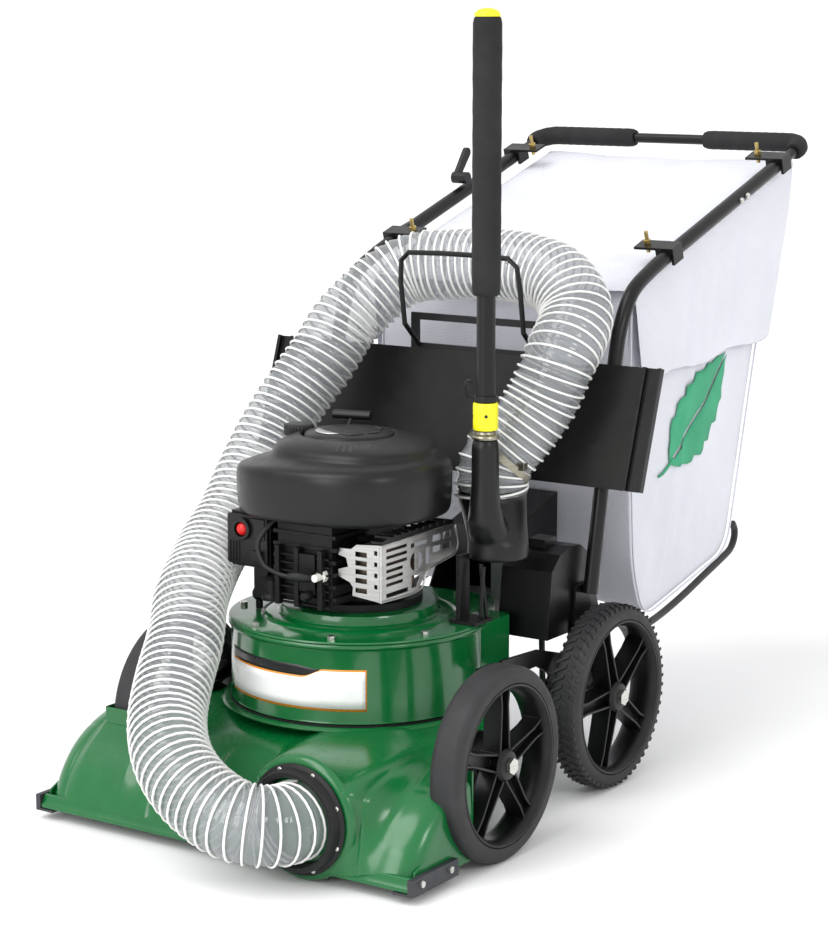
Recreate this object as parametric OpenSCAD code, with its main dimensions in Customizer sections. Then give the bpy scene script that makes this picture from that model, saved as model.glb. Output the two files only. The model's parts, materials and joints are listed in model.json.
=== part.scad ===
// Walk-behind leaf vacuum mulcher: wide nozzle hood, impeller housing, engine, debris bag and hand hose.
// Millimetres. +Z is up, +Y points from the nozzle to the operator, +X is the operator's right-hand side.

/* [Wheels] */
// Front wheel diameter
front_wheel_d = 305; // [295:1:310]
// Rear wheel diameter
rear_wheel_d = 312; // [305:1:318]
// Distance between the front and rear axles
wheelbase = 420; // [412:1:430]
// Distance between the outer faces of the front wheels
front_track = 666; // [660:1:678]
// Distance between the outer faces of the rear wheels
rear_track = 668; // [664:1:690]
// Spokes in each wheel
spoke_count = 5; // [4:1:6]

/* [Nozzle] */
// Width of the ground nozzle
nozzle_w = 714; // [690:2:716]
// Gap under the nozzle's front lip
lip_clearance = 18; // [14:1:24]
// Wall of the moulded nozzle hood
hood_wall = 4; // [3:0.5:5]

/* [Impeller housing] */
// Outer radius of the impeller housing
drum_r = 209; // [200:1:211]
// Height of the impeller housing's side wall
drum_h = 130; // [124:1:134]
// Number of impeller blades
blade_count = 6; // [4:1:8]

/* [Engine] */
// Crankshaft diameter
crank_d = 25; // [22:0.5:28]
// Radius of the blower shroud
shroud_r = 162; // [158:1:163]
// Number of cooling fins on the cylinder
fin_count = 6; // [4:1:7]

/* [Handle] */
// Diameter of the handle tubes
tube_d = 25; // [22:0.5:26]
// Distance of each side tube from the centre plane
tube_x = 282; // [280:1:284]
// Diameter of the foam grips on the top bar
grip_d = 36; // [32:1:40]

/* [Hose] */
// Outer diameter of the suction hose
hose_d = 124; // [116:1:136]
// Length of the hand wand above its socket
wand_l = 665; // [600:5:700]

/* [Hidden] */

// The plan centre of the whole machine lies this far behind the front axle.
origin_y = 397.44;
// Small gap left between pieces that move against each other.
running_gap = 0.05;
plain_gap = 1;
circle_steps = 64;
hull_steps = 32;

front_r = front_wheel_d / 2;
rear_r = rear_wheel_d / 2;
front_wheel_w = 52;
rear_wheel_w = 53;
// The nozzle reaches this much further past the left wheel than past the right one.
nozzle_offset = 90;
front_hub = [(front_track + nozzle_offset) / 2 - front_wheel_w / 2, 0, front_r];
rear_hub = [rear_track / 2 - rear_wheel_w / 2, wheelbase, rear_r];
front_bolt_d = 16;
rear_axle_d = 19;

drum_c = [0, 137, 180];
drum_top = drum_c[2] + 2 + drum_h;
drum_wall = 3;
pedestal_top = drum_top + 25;
eye_r = 95;
impeller_r = 178;
engine_c = [0, 137, pedestal_top];
crankcase_r = 78;
shroud_c = [-8, 124, 490];
shroud_top = 600;
shroud_wall = 3;
flywheel_z = 512;
primer_c = [-131, 461];

port_c = [165, -200, 98];
port_r = 78;
hose_r = hose_d / 2;

// Side tube: its line rises towards the operator.
tube_r = tube_d / 2;
tube_foot = [tube_x, 402, 330];
tube_knee_low = [tube_x, 474, 708];
tube_knee_high = [tube_x, 590, 850];
tube_front = [tube_x, 640, 868];
tube_end = [tube_x, 1092, 1013];
tube_dir = (tube_end - tube_front) / norm(tube_end - tube_front);
bar_r = 9.4;
bar_end = tube_end + 44 * tube_dir;
bar_reach = 260;
// Clamp screws that pinch each side tube onto the top bar, measured back from the tube's end.
screw_at = [182, 206];

panel_half = 389;
panel_low = [379, 515];
panel_high = [444, 709];

chute_half_w = 66;
chute_x = 42;
bag_half_w = 266;
bag_front_y = 575;
bag_wall = 4;

pole_c = [203, 200];
pole_r = 15;
socket_top = 616;
cuff_c = [161, 286];
mouth_c = [204, 238];
mouth_r = 44;

cover_x0 = 166;
cover_x1 = 262;
sprocket_x = 216;
drive_c = [sprocket_x, 385, 345];
axle_c = [sprocket_x, wheelbase, rear_r];
drive_teeth = 14;
axle_teeth = 28;

// Route of the suction hose, from the hood's port, past the engine, over the panel and down to the hand nozzle.
hose_route = [
    [165, -254, 98], [165, -271, 98], [160, -297, 99], [145, -319, 102], [123, -334, 107],
    [96, -340, 114], [52, -338, 130], [8, -327, 151], [-36, -303, 177], [-83, -255, 211],
    [-118, -195, 255], [-148, -130, 303], [-191, -62, 350], [-238, 42, 396], [-250, 120, 444],
    [-256, 178, 502], [-253, 228, 563], [-238, 277, 627], [-213, 325, 690], [-190, 384, 766],
    [-128, 454, 838], [-45, 482, 852], [36, 490, 856], [112, 485, 852],
    [182, 466, 834], [234, 428, 786], [240, 367, 724], [218, 342, 652], [188, 312, 596], [167, 293, 562],
    [161, 286, 530]
];
// Route of the spark plug lead, from the coil under the shroud to the plug boot.
lead_route = [[-48, -16, 486], [-52, -30, 460], [-48, -38, 432], [-30, -40, 412], [-4, -36, 404]];
// Route of the control cable, along the left side tube and down to the engine.
cable_route = [
    [-302, 862, 934], [-306, 760, 902], [-305, 650, 868], [-304, 560, 800], [-304, 490, 700],
    [-305, 462, 600], [-307, 436, 500], [-298, 404, 466], [-250, 388, 448], [-180, 366, 450],
    [-110, 330, 474], [-80, 292, 500]
];
// Route of the wire hoop that keeps the hose on top of the panel.
hoop_route = [
    [-86, 440, 716], [-86, 396, 756], [-86, 384, 830], [-82, 380, 866], [-66, 378, 880],
    [0, 378, 882], [70, 378, 882], [132, 378, 880], [148, 380, 866], [152, 384, 830],
    [152, 396, 756], [152, 440, 716]
];
// Route of the seam cord under the bag, with its curled rear end.
piping_route = [
    [256, 634, 222], [256, 700, 232], [256, 780, 250], [256, 860, 272], [256, 930, 291],
    [256, 962, 302], [256, 977, 318], [256, 979, 336], [256, 969, 350]
];

// ---- helpers ----

function unit(v) = v / norm(v);
function tangent(p, i) = unit(p[min(i + 1, len(p) - 1)] - p[max(i - 1, 0)]);
function level(v, t) = unit(v - (v * t) * t);
function first_normal(t) = abs(t[2]) > 0.9 ? level([1, 0, 0], t) : level([0, 0, 1], t);
function side_vectors(p, i, v) =
    i >= len(p) ? [] : let (n = level(v, tangent(p, i))) concat([n], side_vectors(p, i + 1, n));
// A point on the smooth curve through p, at span i and fraction u.
function curve_point(p, i, u) =
    let (a = p[max(i - 1, 0)], b = p[i], c = p[i + 1], d = p[min(i + 2, len(p) - 1)])
    0.5 * ((2 * b) + (c - a) * u + (2 * a - 5 * b + 4 * c - d) * u * u
        + (3 * b - a - 3 * c + d) * u * u * u);
function smooth_route(p, steps) = concat(
    [for (i = [0 : len(p) - 2]) for (k = [0 : steps - 1]) curve_point(p, i, k / steps)],
    [p[len(p) - 1]]);
function mirrored(p) = [for (q = p) [-q[0], q[1], q[2]]];
function arc_points(c, r, a0, a1, n) = [for (i = [0 : n]) c + r * [cos(a0 + (a1 - a0) * i / n),
    sin(a0 + (a1 - a0) * i / n)]];

// Round rod swept along a list of points.
module sweep(p, r, sides = 12) {
    n = len(p);
    side = side_vectors(p, 0, first_normal(tangent(p, 0)));
    rings = [for (i = [0 : n - 1]) for (k = [0 : sides - 1])
        p[i] + r * (cos(360 * k / sides) * side[i]
            + sin(360 * k / sides) * cross(tangent(p, i), side[i]))];
    walls = [for (i = [0 : n - 2]) for (k = [0 : sides - 1])
        let (a = i * sides + k, b = i * sides + (k + 1) % sides)
        each [[a, a + sides, b], [b, a + sides, b + sides]]];
    start_cap = [[for (k = [0 : sides - 1]) k]];
    end_cap = [[for (k = [sides - 1 : -1 : 0]) (n - 1) * sides + k]];
    polyhedron(rings, concat(walls, start_cap, end_cap), convexity = 10);
}

// Turns the Z axis of its children onto the line from a to b, starting at a.
module along(a, b) {
    v = b - a;
    translate(a) rotate([0, acos(v[2] / norm(v)), atan2(v[1], v[0])]) children();
}

module rod(a, b, r) {
    along(a, b) cylinder(r = r, h = norm(b - a), $fn = circle_steps);
}

// Solid with the side outline given as Y-Z points, between two X values.
module side_slab(points, x0, x1) {
    translate([x0, 0, 0]) rotate([90, 0, 90]) linear_extrude(x1 - x0) polygon(points);
}

module placed() {
    translate([0, -origin_y, 0]) children();
}

module both_sides() {
    children();
    mirror([1, 0, 0]) children();
}

// The right front wheel's station and the left one, which sits further in.
module both_stations() {
    children();
    translate([nozzle_offset, 0, 0]) mirror([1, 0, 0]) children();
}

module hex_bolt(head, length, shank) {
    cylinder(d = head, h = head * 0.45, $fn = 6);
    translate([0, 0, -length]) cylinder(d = shank, h = length, $fn = 24);
}

// ---- nozzle and housing ----

// Side outline of the hood's outer skin, from the front lip over the ridge.
hood_curve = [for (i = [0 : 10]) let (u = i / 10)
    (1 - u) * (1 - u) * [-240, 36] + 2 * u * (1 - u) * [-205, 132] + u * u * [-84, 158]];
rear_half = 296;
deck_left = nozzle_offset - rear_half;
function deck_outline(d) = [[deck_left + d, 0], [rear_half - d, 0], [rear_half - d, 120 - d],
    [170 - d, 320 - d], [-170 + d, 320 - d], [deck_left + d, 120 - d]];

module nozzle_hood() color([0.09, 0.47, 0.24]) placed() {
    half = nozzle_w / 2;
    difference() {
        union() {
            side_slab(concat([[-246, lip_clearance], [-246, lip_clearance + 6]], hood_curve,
                [[-66, 162], [-66, lip_clearance]]), -half, half);
            side_slab([[-67, 60], [-67, 162], [-20, 172], [1, 177], [1, 60]], deck_left, rear_half);
            translate([0, 0, 60]) linear_extrude(117) polygon(deck_outline(0));
            intersection() {
                translate([port_c[0], port_c[1] - 50, port_c[2]]) rotate([-90, 0, 0])
                    cylinder(r = port_r + 12, h = 110, $fn = circle_steps);
                translate([-half, -300, lip_clearance]) cube([nozzle_w, 300, 200]);
            }
        }
        side_slab(concat([[-240, lip_clearance - 10], [-236, 34]],
            [for (i = [1 : 10]) hood_curve[i] + [hood_wall, -hood_wall]],
            [[-74, 156], [-74, lip_clearance - 10]]), -half + hood_wall, half - hood_wall);
        side_slab([[-76, 64], [-76, 155], [-20, 166], [2, 173], [2, 64]],
            deck_left + hood_wall, rear_half - hood_wall);
        translate([0, 0, 64]) linear_extrude(109) polygon(deck_outline(hood_wall));
        translate([0, drum_c[1], 150]) cylinder(r = eye_r, h = 60, $fn = circle_steps);
        translate([port_c[0], port_c[1] - 60, port_c[2]]) rotate([-90, 0, 0])
            cylinder(r = port_r - 14, h = 120, $fn = circle_steps);
        // Room for the front tyres.
        translate([rear_half + 1, 0, front_r]) rotate([0, 90, 0])
            cylinder(r = front_r + 10, h = 100, $fn = circle_steps);
        translate([rear_half + 1, -120, -10]) cube([100, 300, 60]);
        translate([deck_left - 86, 0, front_r]) rotate([0, 90, 0])
            cylinder(r = front_r + 10, h = 85, $fn = circle_steps);
    }
}

module side_skids() color([0.13, 0.13, 0.15]) placed() both_sides()
    translate([nozzle_w / 2 + 0.4, 0, 0]) {
        side_slab([[-248, 14], [-248, 40], [-126, 40], [-126, 14]], 0, 9);
        side_slab([[-248, 14], [-248, 17.5], [-126, 17.5], [-126, 14]], -26, 1);
    }

module port_collar() color([0.06, 0.06, 0.07]) placed()
    translate([port_c[0], port_c[1] - 72.5, port_c[2]]) rotate([-90, 0, 0]) difference() {
        union() {
            cylinder(r = port_r, h = 22, $fn = circle_steps);
            translate([0, 0, 16]) cylinder(r = port_r + 8, h = 6, $fn = circle_steps);
        }
        translate([0, 0, -1]) cylinder(r = hose_r + 0.6, h = 40, $fn = circle_steps);
    }

module vacuum_housing() color([0.09, 0.47, 0.24]) placed() translate(drum_c) difference() {
    union() {
        translate([0, 0, 2]) cylinder(r = drum_r, h = drum_h, $fn = circle_steps);
        translate([0, 0, 2 + drum_h - 9]) cylinder(r = drum_r + 4, h = 9, $fn = circle_steps);
        translate([-30, 0, 2]) cube([drum_r + 26 - drum_wall, 150, drum_h]);
        translate([-30, 0, 2]) cube([chute_x + chute_half_w + 36, 236, drum_h]);
    }
    translate([0, 0, 2 + drum_wall]) cylinder(r = drum_r - drum_wall, h = drum_h, $fn = circle_steps);
    translate([0, 0, -1]) cylinder(r = eye_r, h = 20, $fn = circle_steps);
    translate([chute_x - chute_half_w, 10, 12]) cube([2 * chute_half_w, 240, drum_h - 24]);
    translate([chute_x + chute_half_w - 1, 20, 2 + drum_wall]) cube([88, 126, drum_h - 8]);
}

module housing_gasket() color([0.05, 0.05, 0.05]) placed() translate([0, drum_c[1], 177]) difference() {
    cylinder(r = drum_r + 3, h = 5, $fn = circle_steps);
    translate([0, 0, -1]) cylinder(r = eye_r + 6, h = 7, $fn = circle_steps);
}

module housing_top() color([0.09, 0.47, 0.24]) placed() translate([0, drum_c[1], drum_top])
    rotate_extrude($fn = circle_steps) polygon([[20, 22], [126, 22], [133, 11], [148, 9], [154, 0],
        [drum_r + 3, 0], [drum_r + 3, 4], [157, 4], [151, 12], [136, 14], [129, 25], [20, 25]]);

module housing_bolts() color([0.78, 0.78, 0.80]) placed() {
    for (i = [0 : 7])
        translate([0, drum_c[1], drum_top + 4]) rotate([0, 0, 22.5 + 45 * i])
            translate([drum_r - 14, 0, 0]) hex_bolt(13, 3, 7);
    both_sides() for (y = [-226, -150])
        translate([nozzle_w / 2 + 9.6, y, 30]) rotate([0, 90, 0]) hex_bolt(11, 5, 6);
}

module latch_knob() color([0.06, 0.06, 0.07]) placed() translate([-146, 60, drum_top + 4 + plain_gap]) {
    cylinder(r = 6, h = 16, $fn = 32);
    translate([0, 0, 24]) sphere(r = 12, $fn = circle_steps);
}

module chute_duct(grow) {
    hull() {
        translate([chute_x - chute_half_w - grow, 374, 194 - grow])
            cube([2 * (chute_half_w + grow), 2, 106 + 2 * grow]);
        translate([chute_x - chute_half_w - grow, 440, 300 - grow])
            cube([2 * (chute_half_w + grow), 2, 110 + 2 * grow]);
    }
    hull() {
        translate([chute_x - chute_half_w - grow, 440, 300 - grow])
            cube([2 * (chute_half_w + grow), 2, 110 + 2 * grow]);
        translate([chute_x - chute_half_w - grow, bag_front_y + 8, 346 - grow])
            cube([2 * (chute_half_w + grow), 2 + grow, 108 + 2 * grow]);
    }
}

module discharge_chute() color([0.08, 0.08, 0.09]) placed() difference() {
    chute_duct(0);
    hull() {
        translate([chute_x - chute_half_w + 3, 370, 197]) cube([2 * chute_half_w - 6, 2, 100]);
        translate([chute_x - chute_half_w + 3, 440, 303]) cube([2 * chute_half_w - 6, 2, 104]);
    }
    hull() {
        translate([chute_x - chute_half_w + 3, 440, 303]) cube([2 * chute_half_w - 6, 2, 104]);
        translate([chute_x - chute_half_w + 3, bag_front_y + 12, 349]) cube([2 * chute_half_w - 6, 6, 102]);
    }
}

// ---- engine ----

module crankcase() color([0.12, 0.12, 0.13]) placed() difference() {
    union() {
        translate(engine_c) cylinder(r = 104, h = 12, $fn = circle_steps);
        translate(engine_c) cylinder(r = crankcase_r, h = 120, $fn = circle_steps);
        translate([-62, 2, pedestal_top + 18]) cube([106, 90, 128]);
        for (i = [0 : fin_count - 1])
            translate([-70, 0, pedestal_top + 26 + i * 20]) cube([122, 92, 6]);
        translate([-14, -12, pedestal_top + 40]) cube([34, 14, 60]);
    }
    translate([0, drum_c[1], 300]) cylinder(d = crank_d + 2 * running_gap, h = 300, $fn = circle_steps);
}

module engine_shroud() color([0.13, 0.13, 0.14]) placed() translate([shroud_c[0], shroud_c[1], 0])
    rotate_extrude($fn = 96) polygon(concat(
        [[shroud_r - shroud_wall, shroud_c[2]], [shroud_r, shroud_c[2]], [shroud_r, 556]],
        arc_points([shroud_r - 26, 558], 26, 6, 84, 6), [[96, shroud_top - 2], [70, shroud_top]],
        [[70, shroud_top - 5], [shroud_r - 28, 580], [shroud_r - shroud_wall, 554]]));

module recoil_cover() color([0.16, 0.16, 0.17]) placed() translate([shroud_c[0], shroud_c[1], 0])
    rotate_extrude($fn = 96) polygon([[0, 592], [69, 592], [69, 602], [60, 611], [36, 617], [0, 619]]);

module fuel_tank() color([0.10, 0.10, 0.10]) placed() difference() {
    translate([-66, 232, 492]) cube([132, 30, 64]);
    translate([-63, 235, 495]) cube([126, 24, 58]);
}

module air_filter_box() color([0.08, 0.08, 0.09]) placed() difference() {
    union() {
        translate([-160, 8, 398]) cube([78, 96, 90]);
        translate([-166, 4, 406]) cube([8, 104, 74]);
        translate([-84, 60, 436]) cube([13.5, 34, 34]);
    }
    translate([primer_c[0], 22, primer_c[1]]) rotate([90, 0, 0]) cylinder(r = 13, h = 40, $fn = circle_steps);
}

module primer_bulb() color([0.80, 0.06, 0.05]) placed()
    translate([primer_c[0], 10.5, primer_c[1]]) rotate([90, 0, 0])
    union() {
        cylinder(r = 11.5, h = 9, $fn = circle_steps);
        translate([0, 0, 9]) intersection() {
            sphere(r = 11.5, $fn = circle_steps);
            cylinder(r = 12, h = 12, $fn = circle_steps);
        }
    }

module muffler() color([0.30, 0.29, 0.28]) placed() difference() {
    union() {
        translate([80, 20, 380]) cube([46, 92, 74]);
        rod([52.5, 60, 420], [82, 60, 420], 12);
    }
    translate([83, 23, 383]) cube([40, 86, 68]);
    translate([100, 60, 360]) cylinder(r = 8, h = 40, $fn = 32);
}

module muffler_guard() color([0.72, 0.72, 0.72]) placed() {
    slot_h = 10;
    difference() {
        union() {
            side_slab([[10, 371], [10, 463], [222, 463], [222, 404], [150, 376]], 130, 134);
            translate([55, 8, 372]) cube([79, 4, 90]);
            translate([70, 12, 460]) cube([62, 206, 3]);
        }
        for (row = [0 : 2]) for (k = [0 : 4])
            translate([120, 26 + 38 * k, 410 + 16 * row]) cube([30, 26, slot_h]);
        for (row = [0 : 3]) translate([68, 0, 384 + 18 * row]) cube([22, 20, slot_h]);
    }
}

module spark_plug() color([0.85, 0.85, 0.83]) placed() {
    translate([30, -0.3, 404]) rotate([90, 0, 0]) difference() {
        union() {
            cylinder(r = 10, h = 10, $fn = 6);
            cylinder(r = 6, h = 26, $fn = 32);
        }
        translate([0, 0, -1]) cylinder(r = 2, h = 3, $fn = 24);
    }
}

module engine_cables() color([0.07, 0.07, 0.07]) placed() {
    sweep(smooth_route(lead_route, 3), 4, 10);
    rod([-4, -36, 404], [22.5, -26, 404], 8);
    sweep(smooth_route(cable_route, 2), 3.5, 8);
}

module crankshaft() color([0.62, 0.62, 0.64]) placed() translate([0, drum_c[1], 200])
    cylinder(d = crank_d, h = 350, $fn = circle_steps);

module flywheel() color([0.55, 0.55, 0.56]) placed() translate([0, drum_c[1], flywheel_z]) difference() {
    union() {
        cylinder(r = 88, h = 16, $fn = circle_steps);
        for (i = [0 : 11]) rotate([0, 0, 30 * i]) translate([48, -2, 14]) cube([34, 4, 20]);
        cylinder(r = 26, h = 26, $fn = circle_steps);
    }
    translate([0, 0, -1]) cylinder(d = crank_d, h = 60, $fn = circle_steps);
}

module impeller() color([0.45, 0.45, 0.47]) placed() translate([0, drum_c[1], 0]) difference() {
    union() {
        translate([0, 0, 292]) cylinder(r = impeller_r, h = 5, $fn = circle_steps);
        translate([0, 0, 210]) cylinder(r = 28, h = 87, $fn = circle_steps);
        for (i = [0 : blade_count - 1]) rotate([0, 0, 360 * i / blade_count])
            translate([24, -2.5, 205]) cube([impeller_r - 30, 5, 90]);
    }
    translate([0, 0, 150]) cylinder(d = crank_d, h = 200, $fn = circle_steps);
}

module fuel_cap() color([0.05, 0.05, 0.06]) placed() translate([-104, 116, shroud_top + 1]) {
    cylinder(r = 23, h = 18, $fn = circle_steps);
    for (i = [0 : 11]) rotate([0, 0, 30 * i]) translate([21, -2, 2]) cube([4, 4, 14]);
}

module recoil_handle() color([0.07, 0.07, 0.08]) placed() {
    rod([-66, 200, 606], [-66, 209, 618], 3);
    rod([-98, 205, 624], [-34, 221, 624], 8);
}

// ---- wheels ----

// One U-shaped spoke, from the hub out to the rim.
module spoke(from, to, w) {
    for (y = [-14, 9]) translate([from, y, 8]) cube([to - from, 5, w - 18]);
    translate([from + 1, -12, 9]) cube([to - from - 1.5, 24, 5]);
}

module wheel_rim(r, w, bore, hub_r) rotate([0, 90, 0]) translate([0, 0, -w / 2]) difference() {
    union() {
        difference() {
            cylinder(r = r - 26, h = w, $fn = circle_steps);
            translate([0, 0, -1]) cylinder(r = r - 38, h = w + 2, $fn = circle_steps);
        }
        cylinder(r = hub_r, h = w, $fn = circle_steps);
        for (i = [0 : spoke_count - 1]) rotate([0, 0, 180 + 360 * i / spoke_count])
            spoke(hub_r - 13, r - 34, w);
    }
    translate([0, 0, -1]) cylinder(d = bore, h = w + 2, $fn = circle_steps);
}

module wheel_tyre(r, w) rotate([0, 90, 0]) rotate_extrude($fn = 96) polygon(concat(
    [[r - 26, -w / 2], [r - 20, -w / 2]],
    arc_points([r - 14, -w / 2 + 14], 14, -90, 0, 5),
    arc_points([r - 14, w / 2 - 14], 14, 0, 90, 5),
    [[r - 20, w / 2], [r - 26, w / 2]]));

module front_rim_right() color([0.09, 0.09, 0.09]) placed() translate(front_hub)
    wheel_rim(front_r, front_wheel_w, front_bolt_d + 2 * running_gap, 26);
module front_rim_left() color([0.09, 0.09, 0.09]) placed() translate([nozzle_offset, 0, 0])
    mirror([1, 0, 0]) translate(front_hub)
    wheel_rim(front_r, front_wheel_w, front_bolt_d + 2 * running_gap, 26);
module front_tyre_right() color([0.22, 0.22, 0.23]) placed() translate(front_hub)
    wheel_tyre(front_r, front_wheel_w);
module front_tyre_left() color([0.22, 0.22, 0.23]) placed() translate([nozzle_offset, 0, 0])
    mirror([1, 0, 0]) translate(front_hub)
    wheel_tyre(front_r, front_wheel_w);

module axle_brackets() color([0.08, 0.08, 0.09]) placed() both_stations() difference() {
    side_slab([[-46, 96], [-46, 172], [-20, 190], [30, 190], [60, 172], [60, 96]], 300, 308);
    translate([290, 0, front_r]) rotate([0, 90, 0]) cylinder(d = front_bolt_d, h = 40, $fn = circle_steps);
}

module front_axle_bolts() color([0.75, 0.75, 0.77]) placed() both_stations() translate([296, 0, front_r])
    rotate([0, 90, 0]) {
        cylinder(d = front_bolt_d, h = 86, $fn = circle_steps);
        translate([0, 0, 14]) cylinder(r = 13, h = 14.5, $fn = circle_steps);
        translate([0, 0, 82.8]) cylinder(r = 13.5, h = 6, $fn = 6);
    }

module rear_axle() color([0.60, 0.60, 0.62]) placed() translate([-rear_track / 2 - 6, wheelbase, rear_r])
    rotate([0, 90, 0]) {
        cylinder(d = rear_axle_d, h = rear_track + 12, $fn = circle_steps);
        translate([0, 0, -1]) cylinder(r = 13.5, h = 6.5, $fn = 6);
        translate([0, 0, rear_track + 6.5]) cylinder(r = 13.5, h = 6.5, $fn = 6);
    }
module rear_rims() color([0.09, 0.09, 0.09]) placed() both_sides() translate(rear_hub)
    rotate([-18, 0, 0]) wheel_rim(rear_r, rear_wheel_w, rear_axle_d, 26);
module rear_tyres() color([0.16, 0.16, 0.17]) placed() both_sides() translate(rear_hub)
    wheel_tyre(rear_r, rear_wheel_w);

// ---- drive ----

module sprocket(teeth, r, bore, w) rotate([0, 90, 0]) translate([0, 0, -w / 2]) difference() {
    union() {
        cylinder(r = r - 4, h = w, $fn = circle_steps);
        for (i = [0 : teeth - 1]) rotate([0, 0, 360 * i / teeth])
            translate([r - 8, -1.8, 0]) cube([9, 3.6, w]);
    }
    translate([0, 0, -1]) cylinder(d = bore, h = w + 2, $fn = circle_steps);
}

drive_sprocket_r = 26;
axle_sprocket_r = 52;
module axle_sprocket() color([0.50, 0.50, 0.50]) placed() translate(axle_c)
    sprocket(axle_teeth, axle_sprocket_r, rear_axle_d, 5);
module drive_sprocket() color([0.50, 0.50, 0.50]) placed() translate(drive_c) {
    sprocket(drive_teeth, drive_sprocket_r, 12, 5);
    translate([-78, 0, 0]) rotate([0, 90, 0]) cylinder(d = 14, h = 84, $fn = circle_steps);
}

module transmission() color([0.35, 0.35, 0.36]) placed() difference() {
    translate([124, 344, 312]) cube([38, 78, 74]);
    translate([136, drive_c[1], drive_c[2]]) rotate([0, 90, 0])
        cylinder(d = 14 + 2 * running_gap, h = 40, $fn = circle_steps);
}

// Chain as one closed loop, just clear of the sprocket teeth.
module chain_loop(extra, w) hull() {
    translate([0, drive_c[1], drive_c[2]]) rotate([0, 90, 0])
        cylinder(r = drive_sprocket_r + extra, h = w, center = true, $fn = hull_steps);
    translate([0, axle_c[1], axle_c[2]]) rotate([0, 90, 0])
        cylinder(r = axle_sprocket_r + extra, h = w, center = true, $fn = hull_steps);
}

module drive_chain() color([0.40, 0.40, 0.42]) placed() translate([sprocket_x, 0, 0]) difference() {
    chain_loop(9, 8);
    chain_loop(2.5, 12);
}

module chain_cover() color([0.11, 0.11, 0.12]) placed() {
    difference() {
        side_slab([[298, 268], [312, 380], [338, 404], [372, 413], [402, 411], [426, 396], [476, 268]],
            cover_x0, cover_x1);
        side_slab([[302, 260], [316, 378], [341, 401], [373, 410], [400, 408], [423, 394], [472, 260]],
            cover_x0 + 3, cover_x1 - 3);
        translate([cover_x0 - 2, drive_c[1], drive_c[2]]) rotate([0, 90, 0])
            cylinder(r = 12, h = 10, $fn = 32);
    }
    side_slab([[352, 408], [352, 422], [384, 424], [392, 418], [392, 409]], cover_x0 + 26, cover_x0 + 58);
}

module frame_rails() color([0.08, 0.08, 0.09]) placed() {
    both_sides() difference() {
        side_slab([[150, 236], [150, 268], [262, 262], [372, 230], [378, 345], [424, 345], [440, 214],
            [452, 156], [438, 132], [404, 132], [338, 158], [338, 192], [256, 236]], 263, 269);
        translate([250, wheelbase, rear_r]) rotate([0, 90, 0])
            cylinder(d = rear_axle_d + 2 * running_gap, h = 40, $fn = circle_steps);
    }
    translate([-264, 338.5, 168]) cube([528, 15, 6]);
    both_sides() translate([214, 158, 240]) cube([48.5, 40, 5]);
}

// ---- rear panel, hoop and wand ----

module rear_panel() color([0.10, 0.10, 0.11]) placed() {
    side_slab([panel_low, panel_low + [4, -1.3], panel_high + [4, -1.3], panel_high], -panel_half, panel_half);
    both_sides() for (x = [panel_half - 34, panel_half - 6])
        side_slab([panel_low + [-7, 2.4], panel_low, panel_high, panel_high + [-7, 2.4]], x, x + 6);
    difference() {
        translate([-106, 444.5, 690]) cube([264, 5, 80]);
        translate([-90, 440, 718]) cube([232, 12, 40]);
    }
    both_sides() translate([274, 401, 560]) cube([16, 31.5, 30]);
}

module hose_hoop() color([0.07, 0.07, 0.08]) placed() sweep(hoop_route, 4.5, 10);

module hand_nozzle() color([0.12, 0.12, 0.13]) placed() difference() {
    union() {
        hull() {
            translate([mouth_c[0], mouth_c[1], 412]) cylinder(r = mouth_r + 6, h = 40, $fn = hull_steps);
            translate([cuff_c[0], cuff_c[1], 486]) cylinder(r = 58, h = 30, $fn = hull_steps);
        }
        translate([pole_c[0], pole_c[1], 440]) cylinder(r = 23, h = socket_top - 440, $fn = circle_steps);
    }
    translate([mouth_c[0], mouth_c[1], 405]) cylinder(r = mouth_r, h = 49, $fn = circle_steps);
    hull() {
        translate([mouth_c[0], mouth_c[1], 453]) cylinder(r = mouth_r - 0.3, h = 1, $fn = hull_steps);
        translate([cuff_c[0], cuff_c[1], 490]) cylinder(r = 51.5, h = 8, $fn = hull_steps);
    }
    translate([cuff_c[0], cuff_c[1], 490]) cylinder(r = 52, h = 50, $fn = circle_steps);
    translate([pole_c[0], pole_c[1], 520]) cylinder(r = pole_r, h = 120, $fn = circle_steps);
}

module wand_tube() color([0.10, 0.10, 0.10]) placed() translate([pole_c[0], pole_c[1], 520])
    cylinder(r = pole_r, h = 320, $fn = circle_steps);

module wand_grip() color([0.14, 0.14, 0.15]) placed() translate([pole_c[0], pole_c[1], 0])
    rotate_extrude($fn = circle_steps) polygon([[0, 840], [19, 840], [22, 844], [23, 900], [23, 1262],
        [21, 1272], [0, 1272]]);

module wand_cap() color([0.92, 0.90, 0.12]) placed() translate([pole_c[0], pole_c[1], 1272])
    rotate_extrude($fn = circle_steps) polygon([[0, 0], [20.5, 0], [20, 6], [15, 11], [7, 13], [0, 13]]);

module wand_collar() color([0.92, 0.90, 0.12]) placed() translate([pole_c[0], pole_c[1], 626]) difference() {
    cylinder(r = 20, h = 44, $fn = circle_steps);
    translate([0, 0, -1]) cylinder(r = pole_r + 0.1, h = 50, $fn = circle_steps);
}

module wand_bracket() color([0.07, 0.07, 0.08]) placed() {
    base = drum_top + 4.2;
    translate([168, 150, base]) cube([50, 52, 5]);
    translate([174, 160, base + 5]) cube([8, 28, 425 - base - 5]);
    rod([209, 197, base + 6], [198, 196, 408], 3.5);
    rod([205, 184, base + 6], [212, 182, 408], 3.5);
}

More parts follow.
